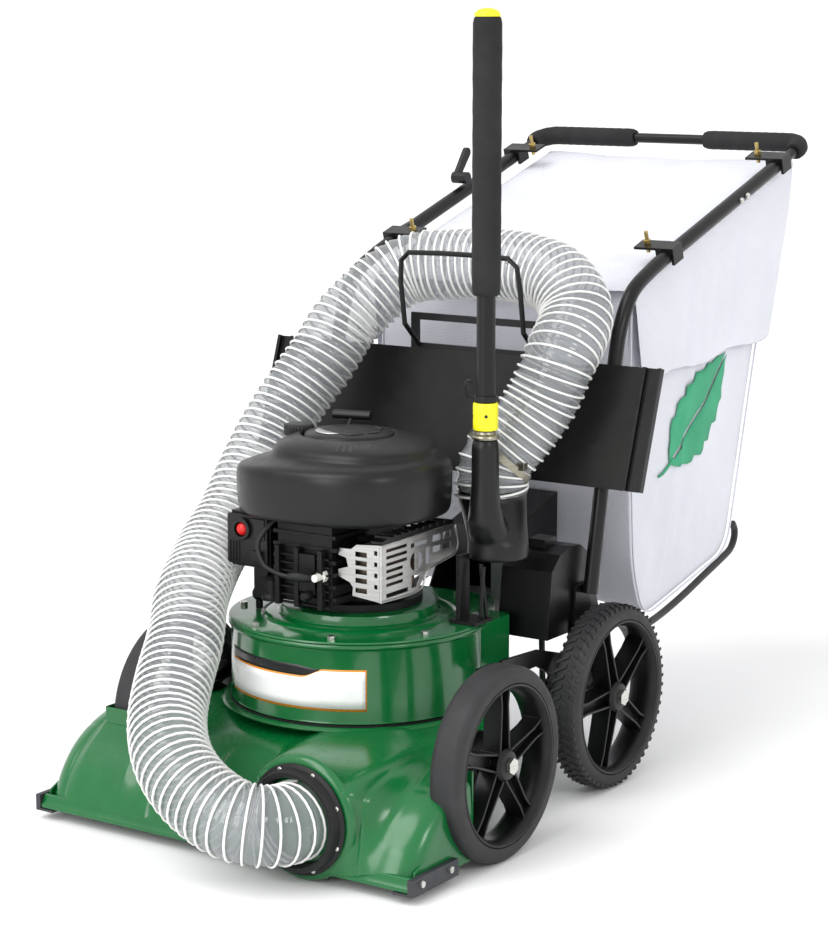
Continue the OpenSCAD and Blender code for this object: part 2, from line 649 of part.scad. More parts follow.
module cord_hook() color([0.10, 0.10, 0.11]) placed() {
    translate([pole_c[0], pole_c[1], 672]) difference() {
        cylinder(r = 18.5, h = 9, $fn = circle_steps);
        translate([0, 0, -1]) cylinder(r = pole_r + 0.1, h = 12, $fn = circle_steps);
    }
    sweep(smooth_route([[187, 194, 676], [176, 190, 680], [170, 188, 692], [176, 190, 704],
        [184, 193, 702]], 2), 2.6, 8);
}

module vacuum_hose() color([0.80, 0.82, 0.84]) placed()
    sweep(smooth_route(hose_route, 2), hose_r, 16);

module hose_clamp() color([0.55, 0.55, 0.52]) placed() {
    route = smooth_route(hose_route, 2);
    end = route[len(route) - 1];
    back = route[len(route) - 2];
    along(end + 2 * unit(back - end), back) difference() {
        cylinder(r = hose_r + 2.6, h = 12, $fn = circle_steps);
        translate([0, 0, -1]) cylinder(r = hose_r + 0.8, h = 20, $fn = circle_steps);
    }
}

// ---- handle ----

module side_tube() difference() {
    sweep(concat([tube_foot, tube_foot + 0.5 * (tube_knee_low - tube_foot)],
        smooth_route([tube_knee_low, [tube_x, 496, 776], [tube_x, 532, 822], tube_knee_high, tube_front], 3),
        [tube_front + 0.4 * (tube_end - tube_front), tube_end]), tube_r, 16);
    along(tube_end - (bar_reach + 70) * tube_dir, tube_end + 10 * tube_dir)
        cylinder(r = bar_r + 0.3, h = bar_reach + 80, $fn = circle_steps);
}

module handle_tubes() color([0.07, 0.07, 0.08]) placed() both_sides() side_tube();

module handle_bar() color([0.07, 0.07, 0.08]) placed() {
    corner = bar_end + 12 * tube_dir;
    run = [for (a = [0 : 15 : 90]) corner + 34 * sin(a) * tube_dir + [-34 * (1 - cos(a)), 0, 0]];
    half = concat([tube_end - bar_reach * tube_dir, tube_end + 20 * tube_dir], run);
    back = mirrored(half);
    sweep(concat(half, [for (i = [len(back) - 1 : -1 : 0]) back[i]]), bar_r, 16);
}

module handle_grips() color([0.13, 0.13, 0.14]) placed() both_sides() {
    y = bar_end[1] + 46 * tube_dir[1];
    z = bar_end[2] + 46 * tube_dir[2];
    translate([74, y, z]) rotate([0, 90, 0]) difference() {
        cylinder(d = grip_d, h = 158, $fn = circle_steps);
        translate([0, 0, -1]) cylinder(r = bar_r, h = 160, $fn = circle_steps);
    }
}

// Frame of a handle bracket: its Y axis runs along the side tube.
module on_tube(p) translate(p) rotate([atan2(tube_dir[2], tube_dir[1]), 0, 0]) children();
bracket_bolt_x = -40;
module bracket_at(p) on_tube(p) difference() {
    union() {
        translate([-17, -17, -13]) cube([34, 34, 30]);
        translate([-58, -17, 12.7]) cube([62, 34, 4.3]);
    }
    rotate([90, 0, 0]) translate([0, 0, -40]) cylinder(r = tube_r + 0.2, h = 80, $fn = circle_steps);
    translate([-12, -20, -20]) cube([24, 40, 20]);
    translate([bracket_bolt_x, 0, 0]) cylinder(r = 3.7, h = 30, $fn = 24);
}
rear_bracket = tube_end - 22 * tube_dir;
front_bracket = tube_front + 18 * tube_dir;
module handle_brackets() color([0.09, 0.09, 0.10]) placed() both_sides() {
    bracket_at(front_bracket);
    bracket_at(rear_bracket);
}

module bracket_bolts() color([0.75, 0.70, 0.50]) placed() both_sides() for (p = [front_bracket, rear_bracket])
    on_tube(p) translate([bracket_bolt_x, 0, 0]) {
        translate([0, 0, 17.4]) cylinder(r = 7, h = 7, $fn = 6);
        translate([0, 0, 2]) cylinder(r = 3.5, h = 38, $fn = 24);
    }

module clamp_screws() color([0.60, 0.60, 0.62]) placed() both_sides() for (d = screw_at)
    translate(tube_end - d * tube_dir + [tube_r - 1.4, 0, 0]) rotate([0, 90, 0]) {
        cylinder(r = 2.5, h = 3, $fn = 24);
        translate([0, 0, 2.2]) cylinder(r = 6, h = 4, $fn = 6);
    }

lever_pivot = [-tube_x, 872, 966];
module control_lever() color([0.07, 0.07, 0.08]) placed() {
    translate(lever_pivot + [-16, 0, 6]) rotate([0, 90, 0]) cylinder(r = 11, h = 32, $fn = circle_steps);
    hull() {
        translate(lever_pivot + [-14, 0, 8]) rotate([0, 90, 0]) cylinder(r = 7, h = 8, $fn = hull_steps);
        translate(lever_pivot + [-14, 34, 52]) rotate([0, 90, 0]) cylinder(r = 9, h = 8, $fn = hull_steps);
    }
}

// ---- bag ----

bag_top_front = [bag_front_y, 818];
bag_outline = [bag_top_front, [600, 833], [1150, 1003], [1168, 985], [1150, 920], [1052, 690],
    [948, 304], [634, 238], [596, 330], [bag_front_y, 600]];
function inset(p, c, d) = c + (p - c) * (1 - d / norm(p - c));
bag_mid = [820, 620];
bag_inner = [for (p = bag_outline) inset(p, bag_mid, bag_wall * 1.6)];

module bag_body() color([0.90, 0.90, 0.92]) placed() difference() {
    side_slab(bag_outline, -bag_half_w, bag_half_w);
    side_slab(bag_inner, -bag_half_w + bag_wall, bag_half_w - bag_wall);
    translate([chute_x - chute_half_w - 1, bag_front_y - 10, 340])
        cube([2 * chute_half_w + 2, 60, 118]);
}

module bag_skirt() color([0.93, 0.93, 0.95]) placed() difference() {
    side_slab([[560, 815], [598, 839], [1152, 1010], [1176, 990], [1179, 934], [1062, 690], [589, 657]],
        -bag_half_w - 6, bag_half_w + 6);
    side_slab([[540, 600], [540, 800], [560, 811], [598, 835], [1151, 1006], [1172, 988], [1175, 934],
        [1056, 680], [1040, 600]], -bag_half_w - 2, bag_half_w + 2);
}

module bag_piping() color([0.06, 0.06, 0.06]) placed() {
    sweep(smooth_route(piping_route, 3), 6.5, 10);
    sweep(smooth_route(mirrored(piping_route), 3), 6.5, 10);
}

nozzle_hood();
side_skids();
port_collar();
vacuum_housing();
housing_gasket();
housing_top();
housing_bolts();
latch_knob();
discharge_chute();
crankcase();
engine_shroud();
recoil_cover();
fuel_tank();
air_filter_box();
muffler();
muffler_guard();
spark_plug();
engine_cables();
axle_brackets();
front_axle_bolts();
frame_rails();
chain_cover();
transmission();
drive_chain();
rear_panel();
hose_hoop();
handle_tubes();
handle_brackets();
bracket_bolts();
wand_bracket();
bag_body();
bag_skirt();
bag_piping();
vacuum_hose();
hose_clamp();
hand_nozzle();
wand_tube();
wand_grip();
wand_cap();
wand_collar();
cord_hook();
crankshaft();
flywheel();
impeller();
front_rim_right();
front_rim_left();
front_tyre_right();
front_tyre_left();
rear_axle();
rear_rims();
rear_tyres();
axle_sprocket();
drive_sprocket();
control_lever();
primer_bulb();
fuel_cap();
recoil_handle();
handle_bar();
handle_grips();
clamp_screws();
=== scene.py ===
"""Looks of the walk-behind leaf vacuum mulcher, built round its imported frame."""

import json
from math import atan2, cos, exp, pi, radians, sin, tau

import bmesh
import bpy
from mathutils import Matrix, Vector, noise
from mathutils.geometry import tessellate_polygon


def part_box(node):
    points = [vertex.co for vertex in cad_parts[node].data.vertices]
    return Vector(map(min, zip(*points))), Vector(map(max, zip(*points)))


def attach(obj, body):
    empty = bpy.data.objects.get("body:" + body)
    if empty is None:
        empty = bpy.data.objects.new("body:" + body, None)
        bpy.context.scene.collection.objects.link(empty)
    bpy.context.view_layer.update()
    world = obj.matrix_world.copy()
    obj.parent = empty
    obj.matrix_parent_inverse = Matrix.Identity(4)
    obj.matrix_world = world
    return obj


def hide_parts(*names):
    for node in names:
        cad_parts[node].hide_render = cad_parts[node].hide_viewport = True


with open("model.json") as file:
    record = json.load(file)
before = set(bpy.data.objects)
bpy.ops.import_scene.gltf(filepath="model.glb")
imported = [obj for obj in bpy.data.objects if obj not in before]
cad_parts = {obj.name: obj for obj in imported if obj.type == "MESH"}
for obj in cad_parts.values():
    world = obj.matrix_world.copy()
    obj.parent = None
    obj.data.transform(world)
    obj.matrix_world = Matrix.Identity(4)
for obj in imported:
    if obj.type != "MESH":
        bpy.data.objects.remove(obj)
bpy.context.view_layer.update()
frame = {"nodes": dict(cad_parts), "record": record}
nodes = frame["nodes"]

X, Y, Z = Vector((1, 0, 0)), Vector((0, 1, 0)), Vector((0, 0, 1))


def middle(node):
    """Centre of a CAD node's box, in metres."""
    low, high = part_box(node)
    return (low + high) / 2


# Pieces are laid out in millimetres from the point of the ground under the front axle's middle.
AXLE_Y = middle("front_tyre_right").y


def at(x, y, z):
    """Place in the frame, in metres, of a point given in millimetres."""
    return Vector((x / 1000, y / 1000 + AXLE_Y, z / 1000))


def mm(length):
    return length / 1000


# ---- materials ----


def linear(r, g, b):
    """A display colour, 0 to 255, as linear light."""
    return tuple(((c / 255 + 0.055) / 1.055) ** 2.4 if c > 10 else c / 255 / 12.92 for c in (r, g, b))


def scaled(colour, k):
    return (*(min(1.0, c * k) for c in colour), 1.0)


LOOKS = {}


class Look:
    """Material whose colour, roughness and bump come from noise in the object's own space."""

    def __init__(self, name):
        self.name = name
        self.material = bpy.data.materials.new(name)
        self.material.use_nodes = True
        self.tree = self.material.node_tree
        self.shader = self.tree.nodes["Principled BSDF"]
        self.place = self.tree.nodes.new("ShaderNodeTexCoord").outputs["Object"]

    def add(self, kind, **settings):
        node = self.tree.nodes.new(kind)
        for key, value in settings.items():
            setattr(node, key, value)
        return node

    def join(self, source, target):
        self.tree.links.new(source, target)

    def noise(self, scale, detail=3.0, stretch=None):
        node = self.add("ShaderNodeTexNoise")
        node.inputs["Scale"].default_value = scale
        node.inputs["Detail"].default_value = detail
        if stretch:
            mapping = self.add("ShaderNodeMapping")
            mapping.inputs["Scale"].default_value = stretch
            self.join(self.place, mapping.inputs["Vector"])
            self.join(mapping.outputs[0], node.inputs["Vector"])
        else:
            self.join(self.place, node.inputs["Vector"])
        return node.outputs[0]

    def math(self, operation, *values):
        node = self.add("ShaderNodeMath", operation=operation)
        for socket, value in zip(node.inputs, values):
            if isinstance(value, float):
                socket.default_value = value
            else:
                self.join(value, socket)
        return node.outputs[0]

    def span(self, value, low, high, start=0.3, end=0.7):
        node = self.add("ShaderNodeMapRange")
        for key, number in (("From Min", start), ("From Max", end), ("To Min", low), ("To Max", high)):
            node.inputs[key].default_value = number
        self.join(value, node.inputs["Value"])
        return node.outputs[0]

    def mix(self, factor, a, b):
        node = self.add("ShaderNodeMix", data_type="RGBA")
        self.join(factor, node.inputs[0])
        for socket, value in ((node.inputs[6], a), (node.inputs[7], b)):
            if isinstance(value, tuple):
                socket.default_value = value
            else:
                self.join(value, socket)
        return node.outputs[2]

    def colour(self, base, vary=0.12, scale=14.0, detail=4.0, stretch=None):
        factor = self.span(self.noise(scale, detail, stretch), 0, 1)
        self.base = self.mix(factor, scaled(base, 1 - vary), scaled(base, 1 + vary))
        return self

    def rough(self, amount, vary=0.06, scale=40.0, stretch=None):
        value = self.span(self.noise(scale, 4.0, stretch), amount - vary, amount + vary)
        self.join(value, self.shader.inputs["Roughness"])
        return self

    def rounded_normal(self, radius):
        node = self.add("ShaderNodeBevel", samples=4)
        node.inputs["Radius"].default_value = mm(radius)
        return node.outputs[0]

    def wear(self, colour, radius=1.2, amount=0.5):
        """Lighter, rubbed colour along edges."""
        dot = self.add("ShaderNodeVectorMath", operation="DOT_PRODUCT")
        self.join(self.rounded_normal(radius), dot.inputs[0])
        self.join(self.add("ShaderNodeNewGeometry").outputs["Normal"], dot.inputs[1])
        edge = self.span(dot.outputs["Value"], amount, 0, 0.75, 0.97)
        patch = self.span(self.noise(60, 5), 0, 1, 0.45, 0.6)
        self.base = self.mix(self.math("MULTIPLY", edge, patch), self.base, scaled(colour, 1))
        return self

    def bump(self, height, strength=0.15, depth=0.4, edge=0.0):
        node = self.add("ShaderNodeBump")
        node.inputs["Strength"].default_value = strength
        node.inputs["Distance"].default_value = mm(depth)
        self.join(height, node.inputs["Height"])
        if edge:
            self.join(self.rounded_normal(edge), node.inputs["Normal"])
        self.join(node.outputs[0], self.shader.inputs["Normal"])
        return self

    def set(self, **sockets):
        for name, value in sockets.items():
            self.shader.inputs[name.replace("_", " ")].default_value = value
        return self

    def done(self):
        """Finishes the material and keeps it in LOOKS under its name."""
        self.join(self.base, self.shader.inputs["Base Color"])
        LOOKS[self.name] = self.material


def plain(name, base, rough, metal=0.0, vary=0.12, grain=500.0, strength=0.12, edge=0.0, wear=None, **more):
    """Paint, plastic or rubber with a fine grain, and rubbed edges where a wear colour is given."""
    look = Look(name).colour(base, vary).rough(rough)
    if wear:
        look.wear(wear, amount=0.35)
    look.bump(look.noise(grain, 4.0), strength, 0.35, edge)
    look.set(Metallic=metal, **more).done()


def woven(name, base, pitch, rough=0.85):
    """Plain weave cloth with faint stains and folds in its bump."""
    look = Look(name).colour(base, 0.05, 5.0).rough(rough, 0.05, 12)
    apart = look.add("ShaderNodeSeparateXYZ")
    look.join(look.place, apart.inputs[0])
    flat = look.add("ShaderNodeCombineXYZ")
    look.join(look.math("ADD", apart.outputs[0], apart.outputs[1]), flat.inputs[0])
    look.join(apart.outputs[2], flat.inputs[1])
    threads = []
    for direction in ("X", "Y"):
        wave = look.add("ShaderNodeTexWave", bands_direction=direction)
        wave.inputs["Scale"].default_value = 0.314 / mm(pitch)
        wave.inputs["Distortion"].default_value = 0.6
        look.join(flat.outputs[0], wave.inputs["Vector"])
        threads.append(wave.outputs["Fac"])
    weave = look.math("MULTIPLY", *threads)
    look.bump(look.math("MULTIPLY_ADD", look.noise(9.0, 6.0), 5.0, weave), 0.5, 2.0)
    look.set(Sheen_Weight=0.25, Sheen_Roughness=0.5).done()


def brushed(name, base, rough, edge=0.0, vary=0.15, stretch=(1, 1, 12)):
    """Metal with a drawn-out grain."""
    look = Look(name).colour(base, vary, 30, 5, stretch).rough(rough, 0.08, 60, stretch)
    look.bump(look.noise(300, 3, stretch), 0.08, 0.2, edge)
    look.set(Metallic=1.0).done()


GREEN = linear(4, 96, 44)
plain("green_moulding", GREEN, 0.24, vary=0.07, grain=260, strength=0.05, edge=1.5,
      wear=linear(50, 140, 84), Coat_Weight=0.2, Coat_Roughness=0.1)
plain("green_paint", GREEN, 0.2, vary=0.05, grain=180, strength=0.04, edge=1.2, wear=linear(60, 145, 92),
      Coat_Weight=0.35, Coat_Roughness=0.06)
plain("black_rubber", linear(16, 16, 17), 0.5, grain=420, strength=0.2, edge=1.0,
      Specular_IOR_Level=0.35)
plain("skid_plastic", linear(46, 47, 52), 0.55, vary=0.25, grain=200, strength=0.3, edge=1.5,
      wear=linear(110, 110, 112))
brushed("zinc_steel", linear(205, 205, 200), 0.28, 0.6)
plain("black_plastic", linear(17, 17, 18), 0.36, grain=900, strength=0.12, edge=1.5,
      Specular_IOR_Level=0.34)
plain("engine_casting", linear(16, 16, 17), 0.48, metal=0.2, vary=0.3, grain=350, strength=0.4, edge=1.0,
      wear=linear(90, 90, 92), Specular_IOR_Level=0.35)
brushed("muffler_steel", linear(110, 98, 88), 0.5, 1.0, 0.35)
brushed("guard_steel", linear(196, 196, 194), 0.4, 0.8, 0.14)
plain("plug_ceramic", linear(232, 232, 226), 0.2, vary=0.06, grain=300, strength=0.03)
plain("black_paint", linear(12, 12, 13), 0.34, grain=700, strength=0.12, edge=1.2,
      wear=linear(52, 52, 54), Specular_IOR_Level=0.32)
plain("gearbox_casting", linear(140, 140, 142), 0.45, metal=0.8, vary=0.2, grain=300, strength=0.4,
      edge=1.5)
brushed("chain_steel", linear(105, 103, 100), 0.42, 0.5, 0.3)
brushed("brass_nut", linear(196, 172, 110), 0.32, 0.5)
woven("bag_fabric", linear(221, 222, 231), 2.6)
woven("black_cord", linear(26, 26, 27), 1.6, 0.75)
brushed("clamp_steel", linear(150, 146, 132), 0.34, 0.4)
plain("grip_foam", linear(36, 36, 37), 0.8, grain=1100, strength=0.45, vary=0.2, Specular_IOR_Level=0.3)
plain("yellow_plastic", linear(238, 232, 30), 0.4, vary=0.06, grain=500, edge=0.8)
plain("rim_plastic", linear(15, 15, 16), 0.36, grain=800, strength=0.12, edge=1.2,
      Specular_IOR_Level=0.36)
plain("tyre", linear(42, 42, 44), 0.62, vary=0.22, grain=380, strength=0.3, Specular_IOR_Level=0.4)
plain("red_rubber", linear(215, 24, 22), 0.35, vary=0.08, grain=300)
plain("helix", linear(238, 238, 236), 0.4, vary=0.05, grain=300)
plain("label_white", linear(240, 240, 240), 0.3, vary=0.03, grain=300, strength=0.03)
plain("label_orange", linear(222, 140, 40), 0.3, vary=0.05, grain=300, strength=0.03)
plain("label_dark", linear(26, 26, 28), 0.3, vary=0.05, grain=300, strength=0.03)
plain("print_green", linear(62, 158, 118), 0.8, vary=0.12, grain=300)
# The clear wall's grey base colour is partly its own faint tint and partly painted shade and painted
# reflection: it copies the darkening that refraction and the mirrored dark parts behind it give.
plain("clear_hose", linear(150, 154, 157), 0.1, vary=0.12, grain=120, strength=0.1, Alpha=0.52,
      Coat_Weight=1.0, Coat_Roughness=0.04)

for row in frame["record"]["subparts"]:
    node = nodes[row["node"]]
    node.data.materials.clear()
    node.data.materials.append(LOOKS[row["material_slot"]])


def rounded(target, width, angle):
    """Rounds a piece's edges where its faces turn by more than the angle, in degrees."""
    edge = target.modifiers.new("edge", "BEVEL")
    edge.width, edge.segments, edge.limit_method = mm(width), 3, "ANGLE"
    edge.angle_limit = radians(angle)
    return edge


CAD_EDGES = {"chain_cover": 7, "crankcase": 3, "fuel_tank": 4, "rear_panel": 1, "discharge_chute": 3,
             "air_filter_box": 3, "transmission": 3, "muffler": 3}
for name, width in CAD_EDGES.items():
    rounded(nodes[name], width, 28)

# ---- mesh building ----


def smooth_path(points, steps):
    """Catmull-Rom curve through the points."""
    path = []
    last = len(points) - 1
    for i in range(last):
        a, b, c, d = points[max(i - 1, 0)], points[i], points[i + 1], points[min(i + 2, last)]
        for k in range(steps):
            u = k / steps
            path.append(0.5 * (2 * b + (c - a) * u + (2 * a - 5 * b + 4 * c - d) * u * u
                               + (3 * b - a - 3 * c + d) * u ** 3))
    return path + [points[-1]]


def route(points, steps=8):
    """Smooth path through points given in millimetres."""
    return smooth_path([at(*p) for p in points], steps)


def tangents(path, closed=False):
    n = len(path)
    if closed:
        return [(path[(i + 1) % n] - path[i - 1]).normalized() for i in range(n)]
    return [(path[min(i + 1, n - 1)] - path[max(i - 1, 0)]).normalized() for i in range(n)]


def carried_frames(path, closed=False):
    """Two side vectors at each point, turned as little as possible along the path."""
    along = tangents(path, closed)
    start = Z if abs(along[0].z) < 0.9 else X
    side = (start - along[0] * start.dot(along[0])).normalized()
    frames = []
    for t in along:
        side = (side - t * side.dot(t)).normalized()
        frames.append((side, t.cross(side)))
    return frames


def respaced(path, step):
    """The same path with points a step apart."""
    total, marks = 0.0, [0.0]
    for a, b in zip(path, path[1:]):
        total += (b - a).length
        marks.append(total)
    count = max(2, round(total / step))
    out, i = [], 0
    for k in range(count + 1):
        s = total * k / count
        while i < len(path) - 2 and marks[i + 1] < s:
            i += 1
        u = (s - marks[i]) / max(marks[i + 1] - marks[i], 1e-9)
        out.append(path[i].lerp(path[i + 1], min(max(u, 0), 1)))
    return out


def placed(name, data):
    """New object in the scene."""
    made = bpy.data.objects.new(name, data)
    bpy.context.scene.collection.objects.link(made)
    return made


class Shape:
    """Collects the faces of one piece."""

    def __init__(self):
        self.bm = bmesh.new()

    def rings(self, rings, close=True, ends=True):
        """Skin through rings of points, each ring closed and both ends capped unless told not to."""
        rows = [[self.bm.verts.new(p) for p in ring] for ring in rings]
        n = len(rows[0])
        for a, b in zip(rows, rows[1:]):
            for k in range(n if close else n - 1):
                m = (k + 1) % n
                self.bm.faces.new((a[k], a[m], b[m], b[k]))
        if ends:
            self.bm.faces.new(rows[0][::-1])
            self.bm.faces.new(rows[-1])

    def tube(self, path, radius, sides=20, ends=True, closed=False):
        radii = radius if isinstance(radius, list) else [radius] * len(path)
        circle = [(cos(tau * k / sides), sin(tau * k / sides)) for k in range(sides)]
        rings = [[p + mm(r) * (c * u + s * v) for c, s in circle]
                 for p, r, (u, v) in zip(path, radii, carried_frames(path, closed))]
        self.rings(rings + [rings[0]] if closed else rings, True, ends and not closed)

    def lathe(self, profile, centre, axis=Z, steps=96, start=0.0, turn=tau):
        """Turns (radius, height) points about an axis through centre."""
        u = X if abs(axis.x) < 0.9 else Y
        v = axis.cross(u)
        whole = turn >= tau
        rings = []
        for k in range(steps if whole else steps + 1):
            a = start + turn * k / steps
            out = cos(a) * u + sin(a) * v
            rings.append([centre + mm(r) * out + mm(h) * axis for r, h in profile])
        self.rings(rings + [rings[0]] if whole else rings, False, False)

    def block(self, low, high):
        """Box between two corners."""
        a, b = at(*low), at(*high)
        made = bmesh.ops.create_cube(self.bm, size=1)["verts"]
        place = Matrix.Translation((a + b) / 2) @ Matrix.Diagonal((*(b - a), 1))
        bmesh.ops.transform(self.bm, matrix=place, verts=made)

    def slab(self, outline, low, high):
        """Side outline of (y, z) points between two x values."""
        self.rings([[at(x, y, z) for y, z in outline] for x in (low, high)])

    def plate(self, outline, low, high):
        """Plan outline of (x, y) points between two heights."""
        self.rings([[at(x, y, z) for x, y in outline] for z in (low, high)])

    def make(self, name, look, body="chassis", stands_for=(), bevel=0.0, sharp=35, thick=0.0, rounds=0):
        """Turns the faces into a visible piece that rides on a body and stands for CAD nodes."""
        bmesh.ops.remove_doubles(self.bm, verts=self.bm.verts, dist=1e-6)
        bmesh.ops.recalc_face_normals(self.bm, faces=self.bm.faces)
        mesh = bpy.data.meshes.new(name)
        self.bm.to_mesh(mesh)
        self.bm.free()
        mesh.materials.append(LOOKS[look])
        mesh.shade_smooth()
        mesh.set_sharp_from_angle(angle=radians(sharp))
        made = placed(name, mesh)
        if thick:
            wall = made.modifiers.new("wall", "SOLIDIFY")
            wall.thickness, wall.offset = mm(thick), -1
        if bevel:
            rounded(made, bevel, sharp).harden_normals = True
        if rounds:
            smooth = made.modifiers.new("rounds", "SUBSURF")
            smooth.levels = smooth.render_levels = rounds
        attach(made, body)
        if stands_for:
            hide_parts(*stands_for)
        return made


def bezier(a, b, c, u):
    """Point at share u of the curve from a to c that leans toward b."""
    return tuple((1 - u) ** 2 * p + 2 * u * (1 - u) * q + u * u * r for p, q, r in zip(a, b, c))


def bell(x, width):
    return exp(-(x / width) ** 2)


# ---- nozzle and housing ----

HOOD_HALF, HOOD_END = 357, 292
HOOD_LIP, HOOD_SHOULDER, HOOD_RIDGE = (-240, 34), (-206, 134), (-84, 158)
HOOD_FOOT, HOOD_BACK, MOUND_FRONT = 24, -66, -249
GROOVES_X, SEAMS_X = (-142, -52, 38, 262), (262, -320)
WELL, WELL_WALL, WELL_RISE = (-293, -206), -158, (-316, -184)
DRUM = (0, 137)
PORT = (165, 98)


def ease(u):
    """0 to 1, level at both ends."""
    u = min(max(u, 0), 1)
    return u * u * (3 - 2 * u)


def port_share(x):
    """1 across the port's mound, falling to 0 beside it."""
    return ease((136 - abs(x - PORT[0])) / 62)


def hood_point(x, s):
    """Point of the hood's moulded front, s from 0 at the lip to 1 at the ridge."""
    y, z = bezier(HOOD_LIP, HOOD_SHOULDER, HOOD_RIDGE, s)
    # Round the port the front stands upright first, then curls back.
    turn = pi / 2 * max(0.0, (s - 0.5) / 0.5)
    mound_y = MOUND_FRONT + (HOOD_RIDGE[0] - MOUND_FRONT) * (1 - cos(turn))
    mound_z = HOOD_FOOT + 124 * min(1, s / 0.5) + 28 * sin(turn)
    share = port_share(x)
    y, z = y + (mound_y - y) * share, z + (mound_z - z) * share
    # Both ends round off.
    end = max(0.0, (abs(x) - HOOD_END) / (HOOD_HALF - HOOD_END))
    full = (1 - end ** 2.4) ** (1 / 2.4)
    y = HOOD_BACK + (y - HOOD_BACK) * (0.76 + 0.24 * full)
    z = HOOD_FOOT + (z - HOOD_FOOT) * (0.82 + 0.18 * full)
    # Grooves run up the front, creases along it, and a wall stands round the wheel's well.
    groove = max(bell(x - g, 3.2) for g in GROOVES_X)
    groove += 0.8 * (1 - share) * (bell(s - 0.74, 0.014) + bell(s - 0.92, 0.012))
    inset = 4.2 * min(1, groove) * sin(pi * min(1, s + 0.12))
    inset += 2 * sum(bell(x - seam, 5) for seam in SEAMS_X)
    y, z = y + 0.75 * inset, z - 0.65 * inset
    z += 0.14 * (z - HOOD_FOOT) * ease((x - WELL_RISE[0]) / 22) * ease((WELL_RISE[1] - x) / 22)
    return at(x, min(y, WELL_WALL) if WELL[0] < x < WELL[1] else y, z)


def nozzle_hood():
    """Moulded front with its end walls, ridge, back wall and wheel well, and a separate lip and port boss."""
    shape = Shape()
    columns = {round(HOOD_HALF * sin(pi / 2 * k / 44), 2) for k in range(-44, 45)}
    columns |= {g + d for g in (*GROOVES_X, *SEAMS_X) for d in (-6, -3, 0, 3, 6)}
    columns |= {edge + d for edge in WELL for d in (-0.4, 0.4)}
    rows = [k / 48 for k in range(49)]
    shape.rings([[hood_point(x, s) for s in rows] for x in sorted(columns)], False, False)
    for side in (-1, 1):
        rim = [hood_point(side * HOOD_HALF, s) for s in rows]
        foot = at(side * HOOD_HALF, -70, 20)
        shape.rings([rim, [p.lerp(foot, 0.5) for p in rim], [p.lerp(foot, 0.999) for p in rim]], False, False)
        shape.slab([(-70, 20), (-232, 20), (-226, 44), (-120, 92), (-70, 96)], side * 353, side * 356.5)
    ridge = [(-88, 156), (-66, 161), (-40, 168), (-10, 176), (6, 178)]
    shape.rings([[at(x, y, z + 20 * port_share(x) * (6 - y) / 94 - 3 * bell(x - SEAMS_X[0], 5))
                  for y, z in ridge] for x in range(WELL[1], 297, 8)], False, False)
    shape.slab([(-66, 60), (-66, 161), (-10, 175), (1, 176), (1, 60)], 292, 296)
    shape.slab([(-150, 60), (-150, 140), (-84, 156), (-10, 174), (1, 175), (1, 60)], -206, -203)
    shape.plate([(-204, 0), (296, 0), (296, 120), (170, 320), (-170, 320), (-204, 262)], 96, 176)
    shape.slab([(-66, 20), (-66, 158), (-70, 158), (-70, 20)], -200, HOOD_HALF - 3)
    shape.slab([(-158, 20), (-158, 150), (-160, 150), (-160, 20)], -293, -203)
    shape.slab([(-66, 20), (-66, 150), (-69, 150), (-69, 20)], -HOOD_HALF + 9, -293)
    shape.slab([(-158, 20), (-158, 150), (-66, 156), (-66, 20)], -296, -293)
    shape.lathe([(205, 170), (222, 172), (226, 176), (222, 178.5), (205, 179)], at(*DRUM, 0))
    shape.make("hood_shell", "green_moulding", stands_for=["nozzle_hood"], bevel=1.2, sharp=40)
    lip = Shape()
    lip.slab([(-246, 18), (-246.5, 24), (-241, 30), (-239, 38), (-234, 40), (-234, 22)], -HOOD_HALF, HOOD_HALF)
    lip.make("hood_lip", "green_moulding", bevel=1.5)
    boss = Shape()
    boss.lathe([(66, -250), (87, -250), (91, -248.5), (94, -246), (96, -243), (97, -240)],
               at(PORT[0], 0, PORT[1]), Y, 96, radians(-132), radians(264))
    boss.make("port_boss", "green_moulding", sharp=50)


def port_collar():
    """Rubber ring round the hose's front end, with eight screws."""
    shape = Shape()
    centre = at(PORT[0], 0, PORT[1])
    shape.lathe([(66, -250), (84, -250.5), (86, -255), (80, -258), (78, -268), (76, -272), (70, -272.4),
                 (67.5, -268), (66.5, -250)], centre, Y)
    shape.make("port_rubber", "black_rubber", stands_for=["port_collar"])
    dots = Shape()
    for k in range(8):
        a = tau * (k + 0.5) / 8
        p = centre + mm(79.5) * (cos(a) * X + sin(a) * Z)
        dots.lathe([(0, -256), (3, -256), (4, -258), (3, -259.6), (0, -260)], p, Y, 12)
    dots.make("port_screws", "zinc_steel")


def impeller_housing():
    """Drum with its two square corners, and its stepped lid."""
    shape = Shape()
    shape.lathe([(196, 183), (211, 183), (209.5, 187), (209, 300), (210, 303), (213, 304), (213.5, 308),
                 (211, 311.6), (200, 312)], at(*DRUM, 0), steps=128)
    shape.plate([(120, 137), (202, 137), (202, 278), (194, 287), (120, 287)], 186, 309)
    shape.plate([(-30, 280), (114, 280), (114, 373), (-30, 373)], 186, 309)
    shape.make("drum_shell", "green_paint", stands_for=["vacuum_housing"], bevel=1.5, sharp=40)
    lid = Shape()
    lid.lathe([(0, 337), (124, 337), (128, 336), (129.5, 333), (130.5, 322), (134, 319.5), (149, 318.6),
               (153, 316.5), (157, 312.5), (160, 316), (205, 316), (212, 315.4), (213.5, 312.6), (206, 312)],
              at(*DRUM, 0), steps=128)
    lid.make("drum_lid", "green_paint", stands_for=["housing_top"], sharp=30)


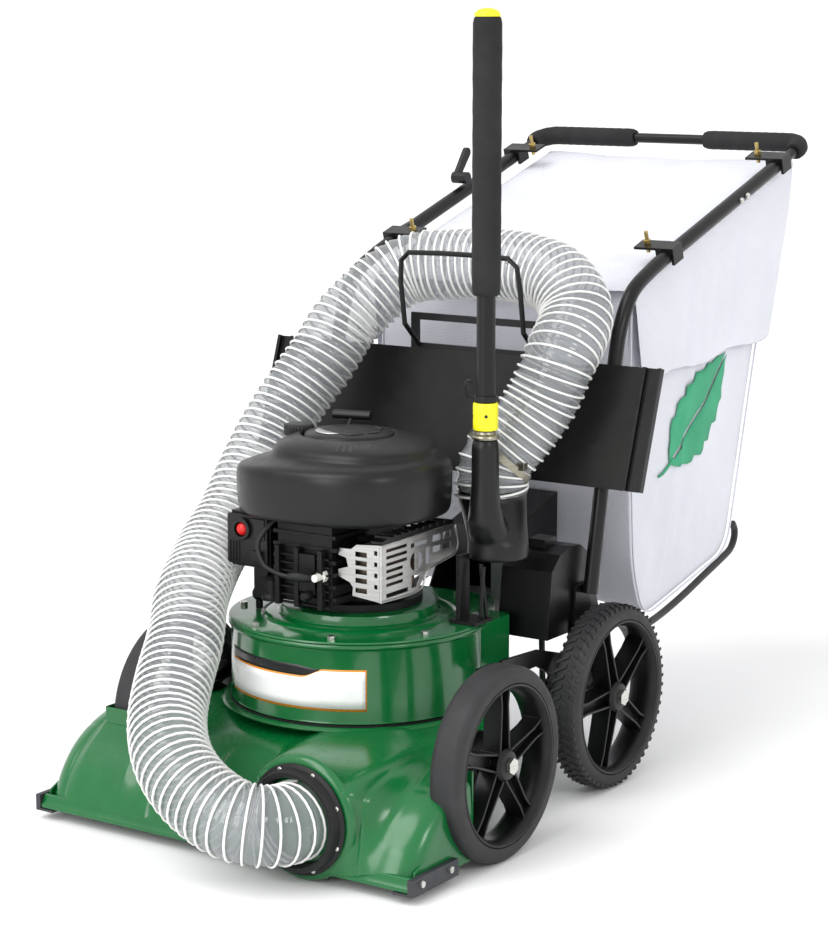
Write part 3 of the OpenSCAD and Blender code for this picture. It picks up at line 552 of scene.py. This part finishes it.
def drum_patch(name, look, a0, a1, z_low, z_high, lift):
    """Thin label on the drum's wall between two angles, its heights given as functions of the share along."""
    shape = Shape()
    rows = []
    for k in range(41):
        u = k / 40
        a = radians(a0 + (a1 - a0) * u)
        out = Vector((cos(a), sin(a), 0))
        low, high = z_low(u), z_high(u)
        rows.append([at(*DRUM, low + (high - low) * j / 4) + mm(209 + lift) * out for j in range(5)])
    shape.rings(rows, False, False)
    shape.make(name, look, thick=0.3)


def drum_labels():
    """Plain white band with an orange edge and a dark strip above it."""
    foot = 207

    def top(u):
        return 256 + 13 * ease((u - 0.62) / 0.14)

    drum_patch("label_edge", "label_orange", -129, -51.4, lambda u: foot - 3, lambda u: top(u) + 2, 0.5)
    drum_patch("label_face", "label_white", -128.6, -52, lambda u: foot + 1, lambda u: top(u) - 1, 0.9)
    drum_patch("label_strip", "label_dark", -129, -72, lambda u: top(u * 0.72) + 2.5,
               lambda u: 275 - 5 * ease((u - 0.8) / 0.2), 0.7)


# ---- engine ----

SHROUD, RIDGE_SHIFT = (-8, 124), (17, 3)
FUEL_CAP = (-104, 116)


def squircle(centre, a, b, z, power, steps, dip, squeeze):
    """Rounded-square ring of half sizes a and b, with its height and reach varied round it."""
    ring = []
    for k in range(steps):
        t = tau * k / steps
        c, s = cos(t), sin(t)
        reach = (abs(c) ** power + abs(s) ** power) ** (-1 / power) * squeeze(t)
        ring.append(at(centre[0] + a * reach * c, centre[1] + b * reach * s, z + dip(t)))
    return ring


def engine_shroud():
    """Blower housing: a full, soft-cornered cap with a rising ridge and an inset starter cover."""
    def away(t, middle_angle):
        return atan2(sin(t - middle_angle), cos(t - middle_angle))

    def near_hose(t):
        return 1 - 0.1 * bell(away(t, 0.76), 0.55)

    def lean(t):
        return -9 * bell(away(t, 3.4), 0.9)

    # Half width, height, share of the ridge's shift and share of the lean.
    levels = [(160, 490, 0, 0), (167, 489, 0, 0), (170.5, 494, 0, 0), (172.5, 512, 0, 0), (173.5, 540, 0, 0.1),
              (173.5, 558, 0, 0.5), (171.5, 568, 0, 0.9), (167, 574.5, 0, 1.2), (160, 578.5, 0.2, 1.3),
              (148, 582, 0.5, 1.2), (137, 584.5, 0.9, 0.7), (133.5, 587, 1, 0.4), (131, 594, 1, 0.2),
              (126, 599, 1, 0.1), (113, 605.5, 0.8, 0), (96, 610.5, 0.4, 0), (81, 612.5, 0, 0),
              (77.5, 611, 0, 0), (76, 600, 0, 0)]
    shape = Shape()
    rings = []
    for a, z, shift, low in levels:
        centre = [c + d * shift for c, d in zip(SHROUD, RIDGE_SHIFT)]
        power = 2.5 if a > 110 else 2.1
        rings.append(squircle(centre, a, a * 0.97, z, power, 120, lambda t, low=low: low * lean(t), near_hose))
    shape.rings(rings, True, False)
    shape.make("shroud_shell", "black_plastic", stands_for=["engine_shroud"], thick=2.5, rounds=1, sharp=60)
    slots = Shape()
    for k in range(7):
        a = radians(-72 + 5.2 * k)
        out, side = Vector((cos(a), sin(a), 0)), Vector((-sin(a), cos(a), 0))
        foot = at(SHROUD[0] + RIDGE_SHIFT[0], SHROUD[1] + RIDGE_SHIFT[1], 0) + mm(112) * out
        section = ((-11, 609.4), (9, 602.9), (9, 601), (-11, 607.4))
        slots.rings([[foot + mm(r) * out + mm(w) * side + mm(z) * Z for r, z in section] for w in (-1.6, 1.6)])
    slots.make("shroud_slots", "label_dark", bevel=0.4)

    cover = Shape()
    cover.lathe([(0, 619.4), (20, 619.1), (40, 618.2), (58, 616.6), (69, 614.6), (73.5, 611), (74, 602),
                 (60, 600)], at(*SHROUD, 0))
    cover.make("starter_cover", "black_plastic", stands_for=["recoil_cover"], sharp=50)

    def lens(target, a0, a1, width):
        """Lens-shaped patch that lies on the cover between two angles."""
        rows = []
        for k in range(17):
            u = k / 16
            a = radians(a0 + (a1 - a0) * u)
            w = width * sin(pi * min(max(u, 0.02), 0.98)) ** 0.7
            rows.append([at(SHROUD[0] + r * cos(a), SHROUD[1] + r * sin(a),
                            619.8 - 0.00082 * r * r + 0.6) for r in (50 - w, 50, 50 + w)])
        target.rings(rows, False, False)

    vents = Shape()
    for a0 in (-70, -20, 30):
        lens(vents, a0, a0 + 42, 7)
    vents.make("cover_vents", "label_dark", thick=0.4)
    crescent = Shape()
    lens(crescent, 205, 285, 8)
    crescent.make("cover_crescent", "guard_steel", thick=0.4)


def engine_details():
    """Air filter's face, ribbed fuel cap, cylinder fins, plug lead and control cable."""
    shape = Shape()
    shape.block((-163, 1.5, 402), (-84, 6, 484))
    for k in range(4):
        shape.block((-160 + 6 * k, -1, 408), (-157 + 6 * k, 3, 440))
    shape.block((-118, -1, 446), (-88, 3, 480))
    shape.block((-112, -6, 410), (-92, 2, 428))
    shape.lathe([(12.2, 7.6), (17, 7.4), (18, 5), (17, 0), (12.2, 0)], at(-131, 0, 461), -Y, 40)
    shape.make("primer_ring", "black_plastic", bevel=1)
    cap = Shape()
    rib = [1.3 if k % 3 else -0.6 for k in range(72)]
    rings = []
    for r, z, grip in ((22, 601, 0), (23.4, 602, 1), (23.6, 615, 1), (22.5, 618, 1), (20, 619.5, 0),
                       (12, 620.4, 0), (5, 620, 0)):
        rings.append([at(FUEL_CAP[0] + (r + rib[k] * grip) * cos(tau * k / 72),
                         FUEL_CAP[1] + (r + rib[k] * grip) * sin(tau * k / 72), z) for k in range(72)])
    cap.rings(rings)
    cap.make("cap_ribbed", "black_plastic", "cap", ["fuel_cap"], sharp=50)
    fins = Shape()
    for k in range(7):
        fins.block((-64, -8, 352 + 13 * k), (44, 0, 355 + 13 * k))
    for x in (-58, -20, 26):
        fins.block((x, -14, 350), (x + 9, -2, 446))
    fins.lathe([(0, 350), (17, 350), (17, 356), (13, 360), (13, 384), (16, 388), (0, 388)], at(-78, 6, 0),
               steps=32)
    fins.block((-112, 2, 350), (-84, 40, 402))
    fins.lathe([(0, 0), (9, 0), (9, 12), (6, 16), (0, 16)], at(10, -14, 372), -Y, 6)
    fins.make("cylinder_fins", "engine_casting", bevel=1)
    loop = Shape()
    lead = [(-60, -10, 486), (-74, -34, 452), (-58, -42, 420), (-30, -42, 408), (-6, -37, 404)]
    loop.tube(route(lead), 4, 14)
    loop.tube(route([(-12, -38, 404), (0, -34, 405), (12, -30, 404), (22, -26.5, 404)], 6),
              [6 + 2.6 * sin(pi * k / 18) for k in range(19)], 18)
    cable = [(-302, 862, 934), (-306, 760, 902), (-305, 650, 868), (-304, 560, 800), (-304, 490, 700),
             (-305, 462, 600), (-307, 436, 500), (-298, 404, 466), (-250, 388, 448), (-180, 366, 450),
             (-110, 330, 474), (-80, 292, 500)]
    loop.tube(route(cable), 3.5, 12)
    loop.make("engine_leads", "black_rubber", stands_for=["engine_cables"])


def sheet(target, outline, holes, place):
    """Flat plate with openings, laid out in its own two directions."""
    loops = [[Vector((u, v, 0)) for u, v in loop] for loop in [outline] + holes]
    verts = [target.bm.verts.new(place(p.x, p.y)) for loop in loops for p in loop]
    for face in tessellate_polygon(loops):
        target.bm.faces.new([verts[i] for i in face])


def slot_hole(u, v, width, height):
    """Outline of a straight opening from its low corner."""
    return [(u, v), (u + width, v), (u + width, v + height), (u, v + height)]


def muffler_guard():
    """Pressed guard: a short front leaf with hooked edges and a long side leaf with rows of slots."""
    shape = Shape()
    front = [(133, 371), (133, 463), (86, 459), (76, 451), (54, 450), (51, 439), (66, 436), (70, 422),
             (51, 416), (51, 405), (73, 397), (79, 390), (78, 376)]
    holes = [slot_hole(84, z, 22, 8) for z in (440, 426, 412, 398, 382)]
    holes += [slot_hole(120, z, 6, 7) for z in (446, 428, 410, 392)]
    sheet(shape, front, holes, lambda u, v: at(u, 9, v))
    side = [(10, 371), (10, 463), (214, 463), (221, 456), (221, 415), (140, 401), (112, 372)]
    turns = [radians(12 * k - 84) for k in range(15)]
    arc = [(111 + 15 * cos(a), 421 + 15 * sin(a)) for a in turns]
    holes = [slot_hole(24, z, 58, 5) for z in (449, 438, 427)]
    holes += [slot_hole(24, z, 46, 5) for z in (416, 405, 394)]
    holes += [arc, [(2 * 108 - y, z) for y, z in arc][::-1]]
    holes += [slot_hole(92, 444, 44, 7), slot_hole(24, 376, 62, 7)]
    holes += [[(94, 379), (108, 379), (122, 399), (94, 399)]]
    holes += [slot_hole(y, z, 22, 11) for y in (154, 184) for z in (443, 425)] + [slot_hole(134, 410, 12, 28)]
    sheet(shape, side, holes, lambda u, v: at(133, u, v))
    shape.make("guard_plates", "guard_steel", stands_for=["muffler_guard"], thick=1.6, bevel=0.3, sharp=30)
    corner = Shape()
    corner.tube([at(132.6, 9.4, z) for z in (371, 400, 430, 463)], 2.2, 12)
    border = [(12, 462), (120, 463), (212, 463), (220, 457), (221, 416), (142, 401), (113, 372), (12, 372)]
    corner.tube(route([(134, y, z) for y, z in border]), 1.6, 10)
    corner.make("guard_edges", "guard_steel", sharp=60)
    strip = Shape()
    strip.rings([[at(x, y, z) for y, z in ((10, 464), (214, 464), (214, 470), (196, 474), (30, 472), (10, 468))]
                 for x in (112, 134)])
    for k in range(9):
        strip.block((110, 24 + 20 * k, 469), (136, 30 + 20 * k, 475))
    strip.make("guard_strip", "black_plastic", bevel=1)


# ---- wheels ----


BOX_FACES = ((0, 1, 3, 2), (4, 6, 7, 5), (0, 4, 5, 1), (2, 3, 7, 6), (0, 2, 6, 4), (1, 5, 7, 3))


def spoke(rim, centre, axis, angle, r, half):
    """Spoke of U section: two side walls and the web between them, from the hub out to the rim."""
    out = Vector((0, cos(angle), sin(angle)))
    across = axis.cross(out)
    low, high = 11 - half, half - 9

    def loft(widths, section):
        rim.rings([[centre + mm(dist) * out + mm(u) * across + mm(h) * axis for u, h in section(w)]
                   for dist, w in zip((18, r - 60, r - 35), widths)])

    for s in (-1, 1):
        loft((15, 11, 14), lambda w: ((s * w, low), (s * (w - 4), low), (s * (w - 4), high), (s * w, high)))
    loft((12, 8, 11), lambda w: ((-w, -3), (w, -3), (w, 3), (-w, 3)))


def chevron(tyre, centre, axis, angle, sign, crown, r):
    """Two slanted blocks of the tread, on one side of the tyre's middle."""
    out = Vector((0, cos(angle), sin(angle)))
    forward = axis.cross(out)
    for inner, outer, drop in ((2, 13, 0), (12, 23, 2.4)):
        corners = []
        for base, half_width in ((crown - 3 - drop, 3.3), (r - 1.2 - drop, 3.3 * 0.75)):
            for h, slant in ((inner, 0), (outer, 7)):
                for w in (-half_width, half_width):
                    corners.append(tyre.bm.verts.new(centre + mm(base) * out + mm(sign * h) * axis
                                                     + mm(w + slant + 0.5 * inner) * forward))
        for face in BOX_FACES:
            tyre.bm.faces.new([corners[i] for i in face])


def wheel(name, hub, r, width, body, phase, stands_for_rim, stands_for_tyre, lugs=0):
    """Five-spoke moulded rim and its tyre, with two rows of chevrons where lugs are given."""
    axis = X if hub[0] > 0 else -X
    centre = at(*hub)
    half = width / 2
    rim = Shape()
    rim.lathe([(r - 26, -half + 2), (r - 27, -half), (r - 30, -half - 0.5), (r - 32, -half + 3),
               (r - 37, -half + 10), (r - 38, 0), (r - 37, half - 10), (r - 32, half - 3), (r - 30, half + 0.5),
               (r - 27, half), (r - 26, half - 2), (r - 26, -half + 2)], centre, axis)
    rim.lathe([(9.6, -half), (20, -half), (24, -half + 4), (22, -8), (22, 8), (26, half - 9), (22, half - 2),
               (15, half), (9.6, half), (9.6, -half)], centre, axis, 48)
    for k in range(5):
        spoke(rim, centre, axis, phase + tau * k / 5, r, half)
    rim.make(name + "_rim", "rim_plastic", body, stands_for_rim, bevel=1.2, sharp=38)

    tyre = Shape()
    crown = r - (4.5 if lugs else 0)
    flank = [(r - 26.4, -half + 3), (r - 25, -half)]
    for k in range(11):
        a = radians(-90 + 9 * k)
        flank.append((crown - 15 + 15 * cos(a) ** 0.9, -half + 15 + 15 * sin(a)))
    tread = [(crown + 0.01 * abs(h), h) for h in (-6, 0, 6)]
    profile = flank + tread + [(p, -h) for p, h in reversed(flank)] + flank[:1]
    tyre.lathe(profile, centre, axis, 120)
    for row in (0, 1):
        for k in range(lugs):
            chevron(tyre, centre, axis, tau * (k + 0.5 * row) / lugs, 1 if row else -1, crown, r)
    tyre.make(name + "_tyre", "tyre", body, stands_for_tyre, sharp=40)


def wheels():
    for tag in ("right", "left"):
        hub = middle("front_tyre_" + tag)
        wheel("front_" + tag, (hub.x * 1000, 0, hub.z * 1000), 152.5, 52, "front_wheel_" + tag,
              pi / 2, ["front_rim_" + tag], ["front_tyre_" + tag])
    for side, tag in ((1, "right"), (-1, "left")):
        wheel("rear_" + tag, (side * 307.5, 420, 156), 156, 53, "rear_wheels",
              pi / 2 + radians(18), ["rear_rims"], ["rear_tyres"], lugs=58)


# ---- hose and wand ----

HOSE_ROUTE = [
    (165, -254, 98), (165, -271, 98), (160, -297, 99), (145, -319, 102), (123, -334, 107),
    (96, -340, 114), (52, -338, 130), (8, -327, 151), (-36, -303, 177), (-83, -255, 211),
    (-118, -195, 255), (-148, -130, 303), (-191, -62, 350), (-238, 42, 396), (-250, 120, 444),
    (-256, 178, 502), (-253, 228, 563), (-238, 277, 627), (-213, 325, 690), (-190, 384, 766),
    (-128, 454, 838), (-45, 482, 852), (36, 490, 856), (112, 485, 852),
    (182, 466, 834), (234, 428, 786), (240, 367, 724), (218, 342, 652), (188, 312, 596), (167, 293, 562),
    (161, 286, 530), (161, 286, 506)]
HELIX_PITCH = 15.5
RIPPLE = 4  # points of the wall in each turn of the helix


def vacuum_hose():
    """Clear rippled wall with a wire helix round it."""
    path = respaced(route(HOSE_ROUTE, 10), mm(HELIX_PITCH / RIPPLE))
    shell = Shape()
    radii = [57.5 + 1.6 * cos(tau * k / RIPPLE) for k in range(len(path))]
    shell.tube(path, radii, 40, ends=False)
    shell.make("hose_wall", "clear_hose", stands_for=["vacuum_hose"], sharp=80)
    turns = []
    steps = 24
    frames = carried_frames(path)
    for i in range((len(path) - 1) // RIPPLE * steps + 1):
        t = i / steps * RIPPLE
        k = min(int(t), len(path) - 2)
        u = t - k
        p = path[k].lerp(path[k + 1], u)
        a, b = frames[k][0].lerp(frames[k + 1][0], u), frames[k][1].lerp(frames[k + 1][1], u)
        angle = tau * i / steps
        turns.append(p + mm(59.8) * (cos(angle) * a + sin(angle) * b))
    wire = Shape()
    wire.tube(turns, 2.1, 6)
    wire.make("hose_helix", "helix", sharp=80)


def hose_ring(shape, k, inner, outer, height):
    """Flat band round the hose at point k of its route."""
    a, b = at(*HOSE_ROUTE[k]), at(*HOSE_ROUTE[k - 1])
    axis = (b - a).normalized()
    side = axis.cross(X).normalized()
    other = axis.cross(side)
    rings = []
    for i in range(64):
        t = tau * i / 64
        out = cos(t) * side + sin(t) * other
        rings.append([a + mm(r) * out + mm(h) * axis
                      for r, h in ((inner, 0), (outer, 0), (outer, height), (inner, height))])
    shape.rings(rings + [rings[0]], True, False)


BARREL = (203, 200)


def hand_nozzle():
    """Cuff and barrel melted into one skin, hollow inside, with the barrel's ring and the hose's band."""
    shape = Shape()

    turns = [tau * k / 40 for k in range(40)]

    def skin(target, sections):
        """Lofts through ovals given as x, y, z and the two half widths."""
        target.rings([[at(x + rx * cos(t), y + ry * sin(t), z) for t in turns]
                      for x, y, z, rx, ry in sections])

    skin(shape, [(204, 238, 412, 49, 49), (204, 238, 418, 50, 50), (203, 240, 440, 49, 50),
                 (192, 251, 462, 50, 52), (174, 272, 484, 54, 55), (161, 286, 500, 57, 57),
                 (161, 286, 516, 57.5, 57.5)])
    skin(shape, [(*BARREL, 612, 19, 19), (*BARREL, 600, 22, 22), (*BARREL, 540, 22.5, 22.5),
                 (*BARREL, 505, 25, 25), (202, 205, 475, 30, 30), (203, 214, 452, 33, 31),
                 (203, 224, 430, 30, 28)])
    made = shape.make("nozzle_body", "black_plastic", stands_for=["hand_nozzle"], sharp=60)
    blend = made.modifiers.new("blend", "REMESH")
    blend.mode, blend.voxel_size, blend.use_smooth_shade = "VOXEL", mm(3), True
    soften = made.modifiers.new("soften", "SMOOTH")
    soften.factor, soften.iterations = 0.5, 10
    hollow = Shape()
    skin(hollow, [(204, 238, 400, 44, 44), (204, 238, 440, 44, 44), (190, 254, 466, 46, 47),
                  (163, 284, 492, 51, 51), (161, 286, 530, 52, 52)])
    cutter = hollow.make("nozzle_cutter", "black_plastic")
    cutter.hide_render = cutter.hide_viewport = True
    cut = made.modifiers.new("hollow", "BOOLEAN")
    cut.object, cut.operation, cut.solver = cutter, "DIFFERENCE", "FAST"
    collar = Shape()
    collar.lathe([(15.2, 612), (22, 612), (23, 615), (22, 618), (17, 620), (16, 624), (15.2, 624)],
                 at(*BARREL, 0), steps=48)
    collar.make("barrel_ring", "clamp_steel")
    band = Shape()
    hose_ring(band, 29, 61.6, 62.8, 12)
    band.block((221, 266, 552), (234, 279, 564))
    band.make("hose_band", "clamp_steel", stands_for=["hose_clamp"], bevel=0.4)


def wand():
    """Foam sleeve, yellow end and yellow collar of the pole."""
    grip = Shape()
    profile = [(15.2, 842), (18.5, 840), (21.5, 842), (22.6, 850), (23, 900)]
    profile += [(23 + 0.25 * sin(k * 1.7), 900 + 12 * k) for k in range(1, 30)]
    profile += [(22.8, 1262), (21, 1270), (19, 1272), (0, 1272)]
    grip.lathe(profile, at(*BARREL, 0), steps=48)
    grip.make("wand_sleeve", "grip_foam", stands_for=["wand_grip"], sharp=60)
    cap = Shape()
    cap.lathe([(0, 1285), (7, 1284.6), (14, 1282.6), (18.5, 1279), (20.4, 1275), (20.4, 1272), (0, 1272)],
              at(*BARREL, 0), steps=48)
    cap.make("wand_end", "yellow_plastic", stands_for=["wand_cap"], sharp=50)
    collar = Shape()
    collar.lathe([(15.1, 626), (18.6, 626), (20, 628), (20.2, 640), (19.7, 648), (20.2, 652), (20, 668),
                  (18.8, 670), (15.1, 670)], at(*BARREL, 0), steps=48)
    collar.make("wand_collar_shell", "yellow_plastic", stands_for=["wand_collar"])
    dot = Shape()
    outward = Vector((0.56, -0.83, 0))
    dot.lathe([(0, 21.6), (3, 21.4), (3.4, 20.4), (3.4, 19), (0, 19)], at(*BARREL, 650), outward, 20)
    dot.make("collar_screw", "label_dark")


# ---- handle ----

TUBE_X = 282
FRONT, END = Vector((640, 868)), Vector((1092, 1013))
RUN = (END - FRONT).normalized()


def tube_point(d, x=TUBE_X):
    """Point on the side tube, d behind its rear end."""
    return at(x, END.x + d * RUN.x, END.y + d * RUN.y)


def handle():
    """Two bent side tubes, the U-shaped top bar and the two foam grips on it."""
    tubes = Shape()
    low = [(402, 330), (438, 519), (474, 708), (496, 776), (532, 822), (590, 850), (640, 868)]
    for side in (-1, 1):
        tubes.tube(route([(side * TUBE_X, y, z) for y, z in low]) + [tube_point(0, side * TUBE_X)], 12.5, 28)
    tubes.make("side_tubes", "black_paint", stands_for=["handle_tubes"], bevel=0.8, sharp=50)
    bar = Shape()
    bend = 34
    half = [tube_point(-120), tube_point(44)]
    for k in range(9):
        a = radians(90 * k / 8)
        half.append(tube_point(56 + bend * sin(a), TUBE_X - bend * (1 - cos(a))))
    path = half + [Vector((-p.x, p.y, p.z)) for p in reversed(half)]
    bar.tube(path, 9.4, 24)
    bar.make("top_bar", "black_paint", "upper_handle", ["handle_bar"], sharp=60)
    grips = Shape()
    corner = [p for p in half if p.z > tube_point(20).z and p.x > mm(240)]
    straight = [Vector((mm(232 - 12 * k), half[-1].y, half[-1].z)) for k in range(14)]
    run = respaced(smooth_path(corner + straight, 3), mm(6))
    radii = [17.8 + 0.25 * sin(2.1 * k) for k in range(len(run))]
    radii[0] = radii[-1] = 15
    radii[1] = radii[-2] = 17.2
    for side in (-1, 1):
        grips.tube([Vector((side * p.x, p.y, p.z)) for p in run], radii, 28)
    grips.make("bar_grips", "grip_foam", "upper_handle", ["handle_grips"], sharp=60)


# ---- bag ----

BAG_OUTLINE = [(575, 818), (600, 833), (1150, 1003), (1168, 985), (1150, 920), (1052, 690), (948, 304),
               (634, 238), (596, 330), (575, 600)]
BAG_HALF = 262
BAG_CENTRE = Vector((812, 610))


def rounded_outline(points, radius, steps=6):
    """Closed outline with each corner cut to an arc-like curve."""
    out = []
    n = len(points)
    for i in range(n):
        a, b, c = (Vector(points[j % n]) for j in (i - 1, i, i + 1))
        r = min(radius, 0.42 * (a - b).length, 0.42 * (c - b).length)
        start, end = b + (a - b).normalized() * r, b + (c - b).normalized() * r
        for k in range(steps + 1):
            out.append(Vector(bezier(start, b, end, k / steps)))
    return out


def spaced_outline(points, count):
    """The outline again, as count points at even steps."""
    loop = [Vector((p.x, p.y, 0)) for p in points]
    loop.append(loop[0])
    even = respaced(loop, sum((b - a).length for a, b in zip(loop, loop[1:])) / count)
    return [Vector((p.x, p.y)) for p in even[:-1]]


def bag_side_x(y, z, f):
    """How far the cloth stands out at a side, f from 0 at the middle to 1 at the seam."""
    swell = 9 * (1 - f * f)
    hang = 1 - abs(noise.noise(Vector((y / 68 - z / 300, z / 420, 0.3)))) * 2
    folds = 7 * max(0, hang) ** 3 + 5 * noise.noise(Vector((y / 120 + z / 90, z / 120, 4.3)))
    crease = 1 - abs(noise.noise(Vector((y / 130 + z / 100, y / 260, 7.1)))) * 3
    low = 9 * max(0, crease) ** 2 * bell((z - 340) / 130, 1)
    return min(BAG_HALF - 13 + swell + (folds + low) * min(1, 3 * (1 - f)), BAG_HALF + 8)


def bag():
    """Two swelling side panels, the strip that wraps round between them, and the seams."""
    loop = spaced_outline(rounded_outline(BAG_OUTLINE, 46), 180)
    shares = [0.0005, 0.12, 0.24, 0.36, 0.48, 0.6, 0.7, 0.8, 0.88, 0.94, 0.98, 1.0]
    for side, tag in ((1, "right"), (-1, "left")):
        panel = Shape()
        rings = []
        for f in shares:
            shrunk = [BAG_CENTRE + (p - BAG_CENTRE) * f for p in loop]
            rings.append([at(side * bag_side_x(q.x, q.y, f), q.x, q.y) for q in shrunk])
        panel.rings(rings, True, False)
        panel.make("bag_side_" + tag, "bag_fabric", stands_for=["bag_body"], thick=1.2, rounds=1, sharp=70)
    wrap = Shape()
    rings = []
    for x in range(-254, 255, 12):
        edge = abs(x) / 254
        ring = []
        for p in loop:
            out = (p - BAG_CENTRE).normalized()
            slack = 4 * noise.noise(Vector((x / 90, p.x / 110, p.y / 110))) - 7 * (1 - edge ** 2)
            q = p + out * slack * (0.25 + 0.75 * (1 - edge ** 6))
            ring.append(at(x, q.x, q.y))
        rings.append(ring)
    wrap.rings(rings, True, False)
    wrap.make("bag_wrap", "bag_fabric", thick=1.2, rounds=1, sharp=70)

    seam = Shape()
    for side in (-1, 1):
        seam.tube([at(side * (BAG_HALF - 6), p.x, p.y) for p in loop], 1.9, 8, closed=True)
    seam.make("bag_seams", "bag_fabric", sharp=80)


def skirt_drop(y):
    """Height of the skirt's hem at y."""
    return 657 + (y - 589) * 33 / 473 + 5 * sin(y / 34)


def skirt_top(y):
    """Height of the cover's top at y, steeper at its front edge."""
    if y < 598:
        return 815 + (y - 560) * 24 / 38
    return 839 + (y - 598) * 171 / 554


def skirt_side(side, u, v):
    """Point on a side flap, u from front to back and v from the top down to the hem."""
    y_top, y_low = 566 + 600 * u, 590 + 476 * u
    y = y_top + (y_low - y_top) * v ** 1.2
    high, low = skirt_top(y_top) - 3, skirt_drop(y_low)
    z = high + (low - high) * v
    fold = y_top / 26 + 1.3 * sin(y_top / 70 + side)
    bulge = 3.5 + 4.5 * v + (1.2 + 4.6 * v) * (abs(sin(fold)) ** 0.6 - 0.5)
    bulge += 3 * noise.noise(Vector((y / 60, z / 150, side * 4.0)))
    return side * (266 + min(bulge, 10) * min(1, 0.25 + 3 * v)), y, z


def bag_skirt():
    """Loose cover over the bag's top, hanging down both sides and the back."""
    shape = Shape()
    rows = []
    for i in range(73):
        u = i / 72
        left, right = ([at(*skirt_side(side, u, j / 16)) for j in range(17)] for side in (-1, 1))
        y_top = 566 + 600 * u
        top = []
        for k in range(1, 24):
            w = k / 24
            x = -266 + 532 * w
            sag = -9 * sin(pi * w) + 2.5 * noise.noise(Vector((x / 80, y_top / 70, 2.0)))
            top.append(at(x, y_top, skirt_top(y_top) + sag - 1))
        rows.append(left[::-1] + top + right)
    shape.rings(rows, False, False)
    shape.make("bag_cover", "bag_fabric", stands_for=["bag_skirt"], thick=1.2, rounds=1, sharp=75)
    back = Shape()
    rows = []
    for j in range(17):
        v = j / 16
        start, end = (Vector(skirt_side(side, 1, v)) for side in (-1, 1))
        row = []
        for k in range(45):
            p = start.lerp(end, k / 44)
            inward = sin(pi * (k / 44))
            full = min(1, 4 * v) * min(1, 5 * inward)
            p.y += 7 * inward ** 0.6 * min(1, 4 * v) - 3 * sin(p.x / 21) * v * full
            p.z += (5 * sin(p.x / 40) * v) * full - 9 * inward * (1 - v) ** 2
            row.append(at(*p))
        rows.append(row)
    back.rings(rows, False, False)
    back.make("bag_cover_back", "bag_fabric", thick=1.2, rounds=1, sharp=75)


def bag_piping():
    """Black cord under each lower edge of the bag, curling up behind it."""
    shape = Shape()
    line = [(634, 222), (700, 232), (780, 250), (860, 272), (930, 291), (962, 302), (977, 318), (979, 336),
            (969, 350)]
    for side in (-1, 1):
        shape.tube(route([(side * 256, y, z) for y, z in line], 10), 6.5, 16)
    shape.make("bag_cord", "black_cord", stands_for=["bag_piping"], sharp=60)


def leaf_mark():
    """Plain leaf printed on each side of the bag."""
    for side, tag in ((1, "right"), (-1, "left")):
        shape = Shape()
        base, tip = Vector((715, 500)), Vector((925, 672))
        run, length = (tip - base).normalized(), (tip - base).length
        wide = Vector((-run.y, run.x))

        def spot(p):
            f = min(1.0, (p - BAG_CENTRE).length / 300)
            return at(side * (bag_side_x(p.x, p.y, f) + 3.4), p.x, p.y)

        for half in (-1, 1):
            rows = []
            for k in range(21):
                u = k / 20
                w = 66 * sin(pi * u ** 0.8) ** 0.9 * (1 + 0.1 * sin(7 * tau * u))
                mid = base + run * length * u
                rows.append([spot(mid + wide * half * (3 + (max(w, 4) - 3) * j / 4)) for j in range(5)])
            shape.rings(rows, False, False)
        stem = [spot(base + run * (8 * k - 44) + wide * (0.4 * (6 - k) ** 2)) for k in range(8)]
        shape.tube(stem, 2.6, 6)
        shape.make("leaf_mark_" + tag, "print_green", thick=0.3)


# ---- build ----

nozzle_hood()
port_collar()
impeller_housing()
drum_labels()
engine_shroud()
engine_details()
muffler_guard()
wheels()
vacuum_hose()
hand_nozzle()
wand()
handle()
bag()
bag_skirt()
bag_piping()
leaf_mark()

# ---- camera, lights and floor ----

AZIMUTH, ELEVATION = radians(34.114), radians(10.298)
camera = placed("camera", bpy.data.cameras.new("camera"))
camera.location = at(2278.6, -3066.6, 1270.3)
view_line = Vector((-sin(AZIMUTH) * cos(ELEVATION), cos(AZIMUTH) * cos(ELEVATION),
                    -sin(ELEVATION)))
camera.rotation_euler = view_line.to_track_quat("-Z", "Y").to_euler()
camera.data.lens = 95.33
bpy.context.scene.camera = camera


def lamp(name, kind, place, power, **settings):
    """Light aimed at the machine's middle."""
    light = bpy.data.lights.new(name, kind)
    light.energy = power
    for key, value in settings.items():
        setattr(light, key, value)
    made = placed(name, light)
    made.location = place
    made.rotation_euler = (AIM - place).to_track_quat("-Z", "Y").to_euler()


AIM = Vector((0, 0, 0.5))
lamp("key", "SUN", Vector((-1.2, -2.6, 4.6)), 1.4, angle=radians(40))
lamp("front", "AREA", Vector((-0.4, -4.6, 2.0)), 60, size=2.2)
lamp("side", "AREA", Vector((4.2, -1.6, 2.6)), 34, size=1.2)

world = bpy.data.worlds.new("studio")
bpy.context.scene.world = world
world.use_nodes = True
sky = world.node_tree.nodes["Background"]
sky.inputs["Color"].default_value = (1, 1, 1, 1)
sky.inputs["Strength"].default_value = 1.0

floor_mesh = bpy.data.meshes.new("floor")
corners = [(40 * i, 40 * j, 0) for i, j in ((-1, -1), (1, -1), (1, 1), (-1, 1))]
floor_mesh.from_pydata(corners, [], [(0, 1, 2, 3)])
Look("floor").colour((0.9, 0.9, 0.9), 0.01, 2).rough(0.8).done()
floor_mesh.materials.append(LOOKS["floor"])
floor = placed("floor", floor_mesh)
bpy.context.scene.view_settings.view_transform = "Standard"
